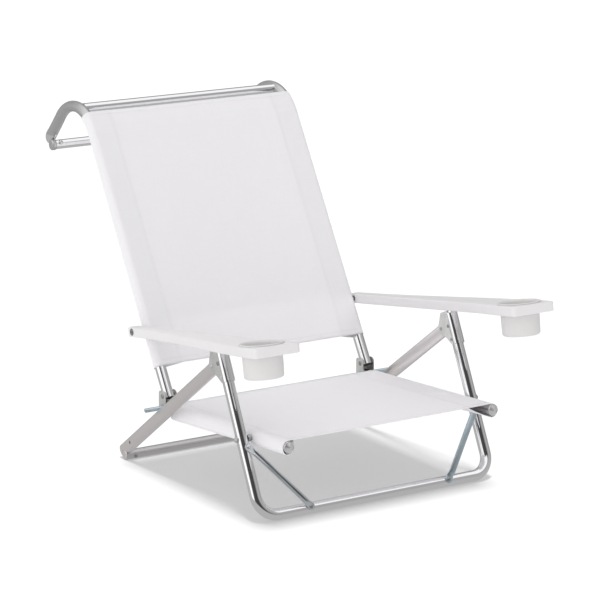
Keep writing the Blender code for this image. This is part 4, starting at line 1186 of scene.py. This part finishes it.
def floor_material():
    material, tree, shader = new_material(
        "floor_white", Base_Color=grey(0.25), Roughness=0.9, Specular_IOR_Level=0.0,
        Emission_Color=grey(1.0), Emission_Strength=0.39)
    # metal sees the floor as an even mid grey
    in_metal = node(tree, 'Emission', Color=grey(0.48))
    set_surface(tree, node(tree, 'MixShader', node(tree, 'LightPath').outputs['Is Glossy Ray'],
                           shader.outputs[0], in_metal.outputs[0]))
    return material


# metres; just under z = 0
FLOOR_CORNERS = [(x, y, -0.0004) for x, y in ((-30, -30), (30, -30), (30, 30), (-30, 30))]
floor_white = floor_material()
floor = flat_sheet("floor", FLOOR_CORNERS, floor_white)

# ------------------------------------------------------------------ camera, in metres
CAM_AZ, CAM_EL, CAM_D = radians(-33.0), radians(13.528852), 6.5220265
TARGET = Vector((0.0, 0.313188 - Y_ORIGIN * MM, 0.386769))
TO_CAMERA = Vector((sin(CAM_AZ) * cos(CAM_EL), -cos(CAM_AZ) * cos(CAM_EL), sin(CAM_EL)))
cam = bpy.data.objects.new("camera", bpy.data.cameras.new("camera"))
cam.data.sensor_width = 36.0
cam.data.lens = 174.439
cam.data.clip_end = 200.0
cam.location = TARGET + TO_CAMERA * CAM_D
scene.collection.objects.link(cam)
cam.rotation_euler = (TARGET - cam.location).to_track_quat('-Z', 'Y').to_euler()
scene.camera = cam

# ------------------------------------------------------------------ the floor's own light
# straight down and soft; it lights only the floor
sun = bpy.data.lights.new("floor_light", 'SUN')
sun.energy = 5.6
sun.angle = radians(13.0)
sun_ob = bpy.data.objects.new("floor_light", sun)
scene.collection.objects.link(sun_ob)
lit = bpy.data.collections.new("lit_by_floor_light")
lit.objects.link(floor)
sun_ob.light_linking.receiver_collection = lit
# only the front and rear leg pieces and the flag shade it
shading = bpy.data.collections.new("shading_the_floor")
for ob in bpy.data.objects:
    if ob.type == 'MESH' and not ob.hide_render and ob.name.startswith(("front_legs", "rear_")):
        shading.objects.link(ob)
# an unseen flag over the chair's footprint keeps that light off the floor between the legs
FLAG_CORNERS = [(-318, -44, 330.0), (276, -44, 330.0), (276, 556, 330.0), (-318, 556, 330.0)]
flag = flat_sheet("flag", [world(corner) for corner in FLAG_CORNERS], floor_white)
for ray in ("camera", "diffuse", "glossy", "transmission", "volume_scatter"):
    setattr(flag, "visible_" + ray, False)
shading.objects.link(flag)
sun_ob.light_linking.blocker_collection = shading

# ------------------------------------------------------------------ surroundings
# (degrees round from the camera, + to its right; brightness), for reflections and for the rest
IN_METAL = [
    (-180, 0.36), (-125, 0.42), (-100, 0.6), (-85, 1.15), (-38, 1.25), (-31, 0.6),
    (-24, 0.08), (34, 0.05), (46, 0.14), (62, 0.38), (80, 0.46), (98, 0.44), (114, 0.30),
    (145, 0.28), (180, 0.36)]
ON_CLOTH = [
    (-180, 0.95), (-90, 1.15), (-40, 1.2), (0, 1.25), (34, 1.15), (58, 0.5), (80, 0.1),
    (115, 0.1), (140, 0.5), (180, 0.95)]
TOP_IN_METAL, TOP_ON_CLOTH = 1.05, 1.06     # brightness overhead

world_data = bpy.data.worlds.new("studio")
scene.world = world_data
world_data.use_nodes = True
# the render engine's own world settings may be missing, or lack this choice
try:
    world_data.cycles.sampling_method = 'NONE'
except (AttributeError, TypeError):
    pass
tree = world_data.node_tree
tree.nodes.clear()
ray_direction = texture_space(tree, 'Generated')


def dot(axis):
    return node(tree, 'VectorMath', ray_direction, axis,
                operation='DOT_PRODUCT').outputs['Value']


def zone(axis, low, high):
    """0 to 1 as a direction nears the axis; the limits are cosines."""
    return node(tree, 'MapRange', interpolation_type='SMOOTHSTEP', Value=dot(axis),
                From_Min=low, From_Max=high).outputs['Result']


def surround(stops, top, top_zone):
    """Background with brightness stops round the horizon and one value overhead."""
    sides = ramp(tree, turn, *[((deg + 180) / 360, grey(value)) for deg, value in stops])
    colour = mix_colour(tree, top_zone, sides, grey(top))
    return node(tree, 'Background', Color=colour).outputs[0]


camera_right = Vector((cos(CAM_AZ), sin(CAM_AZ), 0.0))
camera_flat = Vector((TO_CAMERA.x, TO_CAMERA.y, 0.0)).normalized()
heading = math(tree, 'ARCTAN2', dot(camera_right), dot(camera_flat))
turn = math(tree, 'MULTIPLY_ADD', heading, 1 / (2 * pi), 0.5)
shine = surround(IN_METAL, TOP_IN_METAL, zone(Vector((0, -0.15, 0.989)), low=0.68, high=0.76))
soft = surround(ON_CLOTH, TOP_ON_CLOTH, zone(Vector((0, 0, 1)), low=0.42, high=0.62))
backdrop = node(tree, 'Background', Color=grey(1.0), Strength=1.05).outputs[0]
ray = node(tree, 'LightPath').outputs
unseen = node(tree, 'MixShader', ray['Is Glossy Ray'], soft, shine).outputs[0]
seen = node(tree, 'MixShader', ray['Is Camera Ray'], unseen, backdrop).outputs[0]
node(tree, 'OutputWorld', Surface=seen)

scene.view_settings.view_transform = 'Standard'
scene.view_settings.look = 'None'
scene.view_settings.exposure = 0.0
scene.view_settings.gamma = 1.0
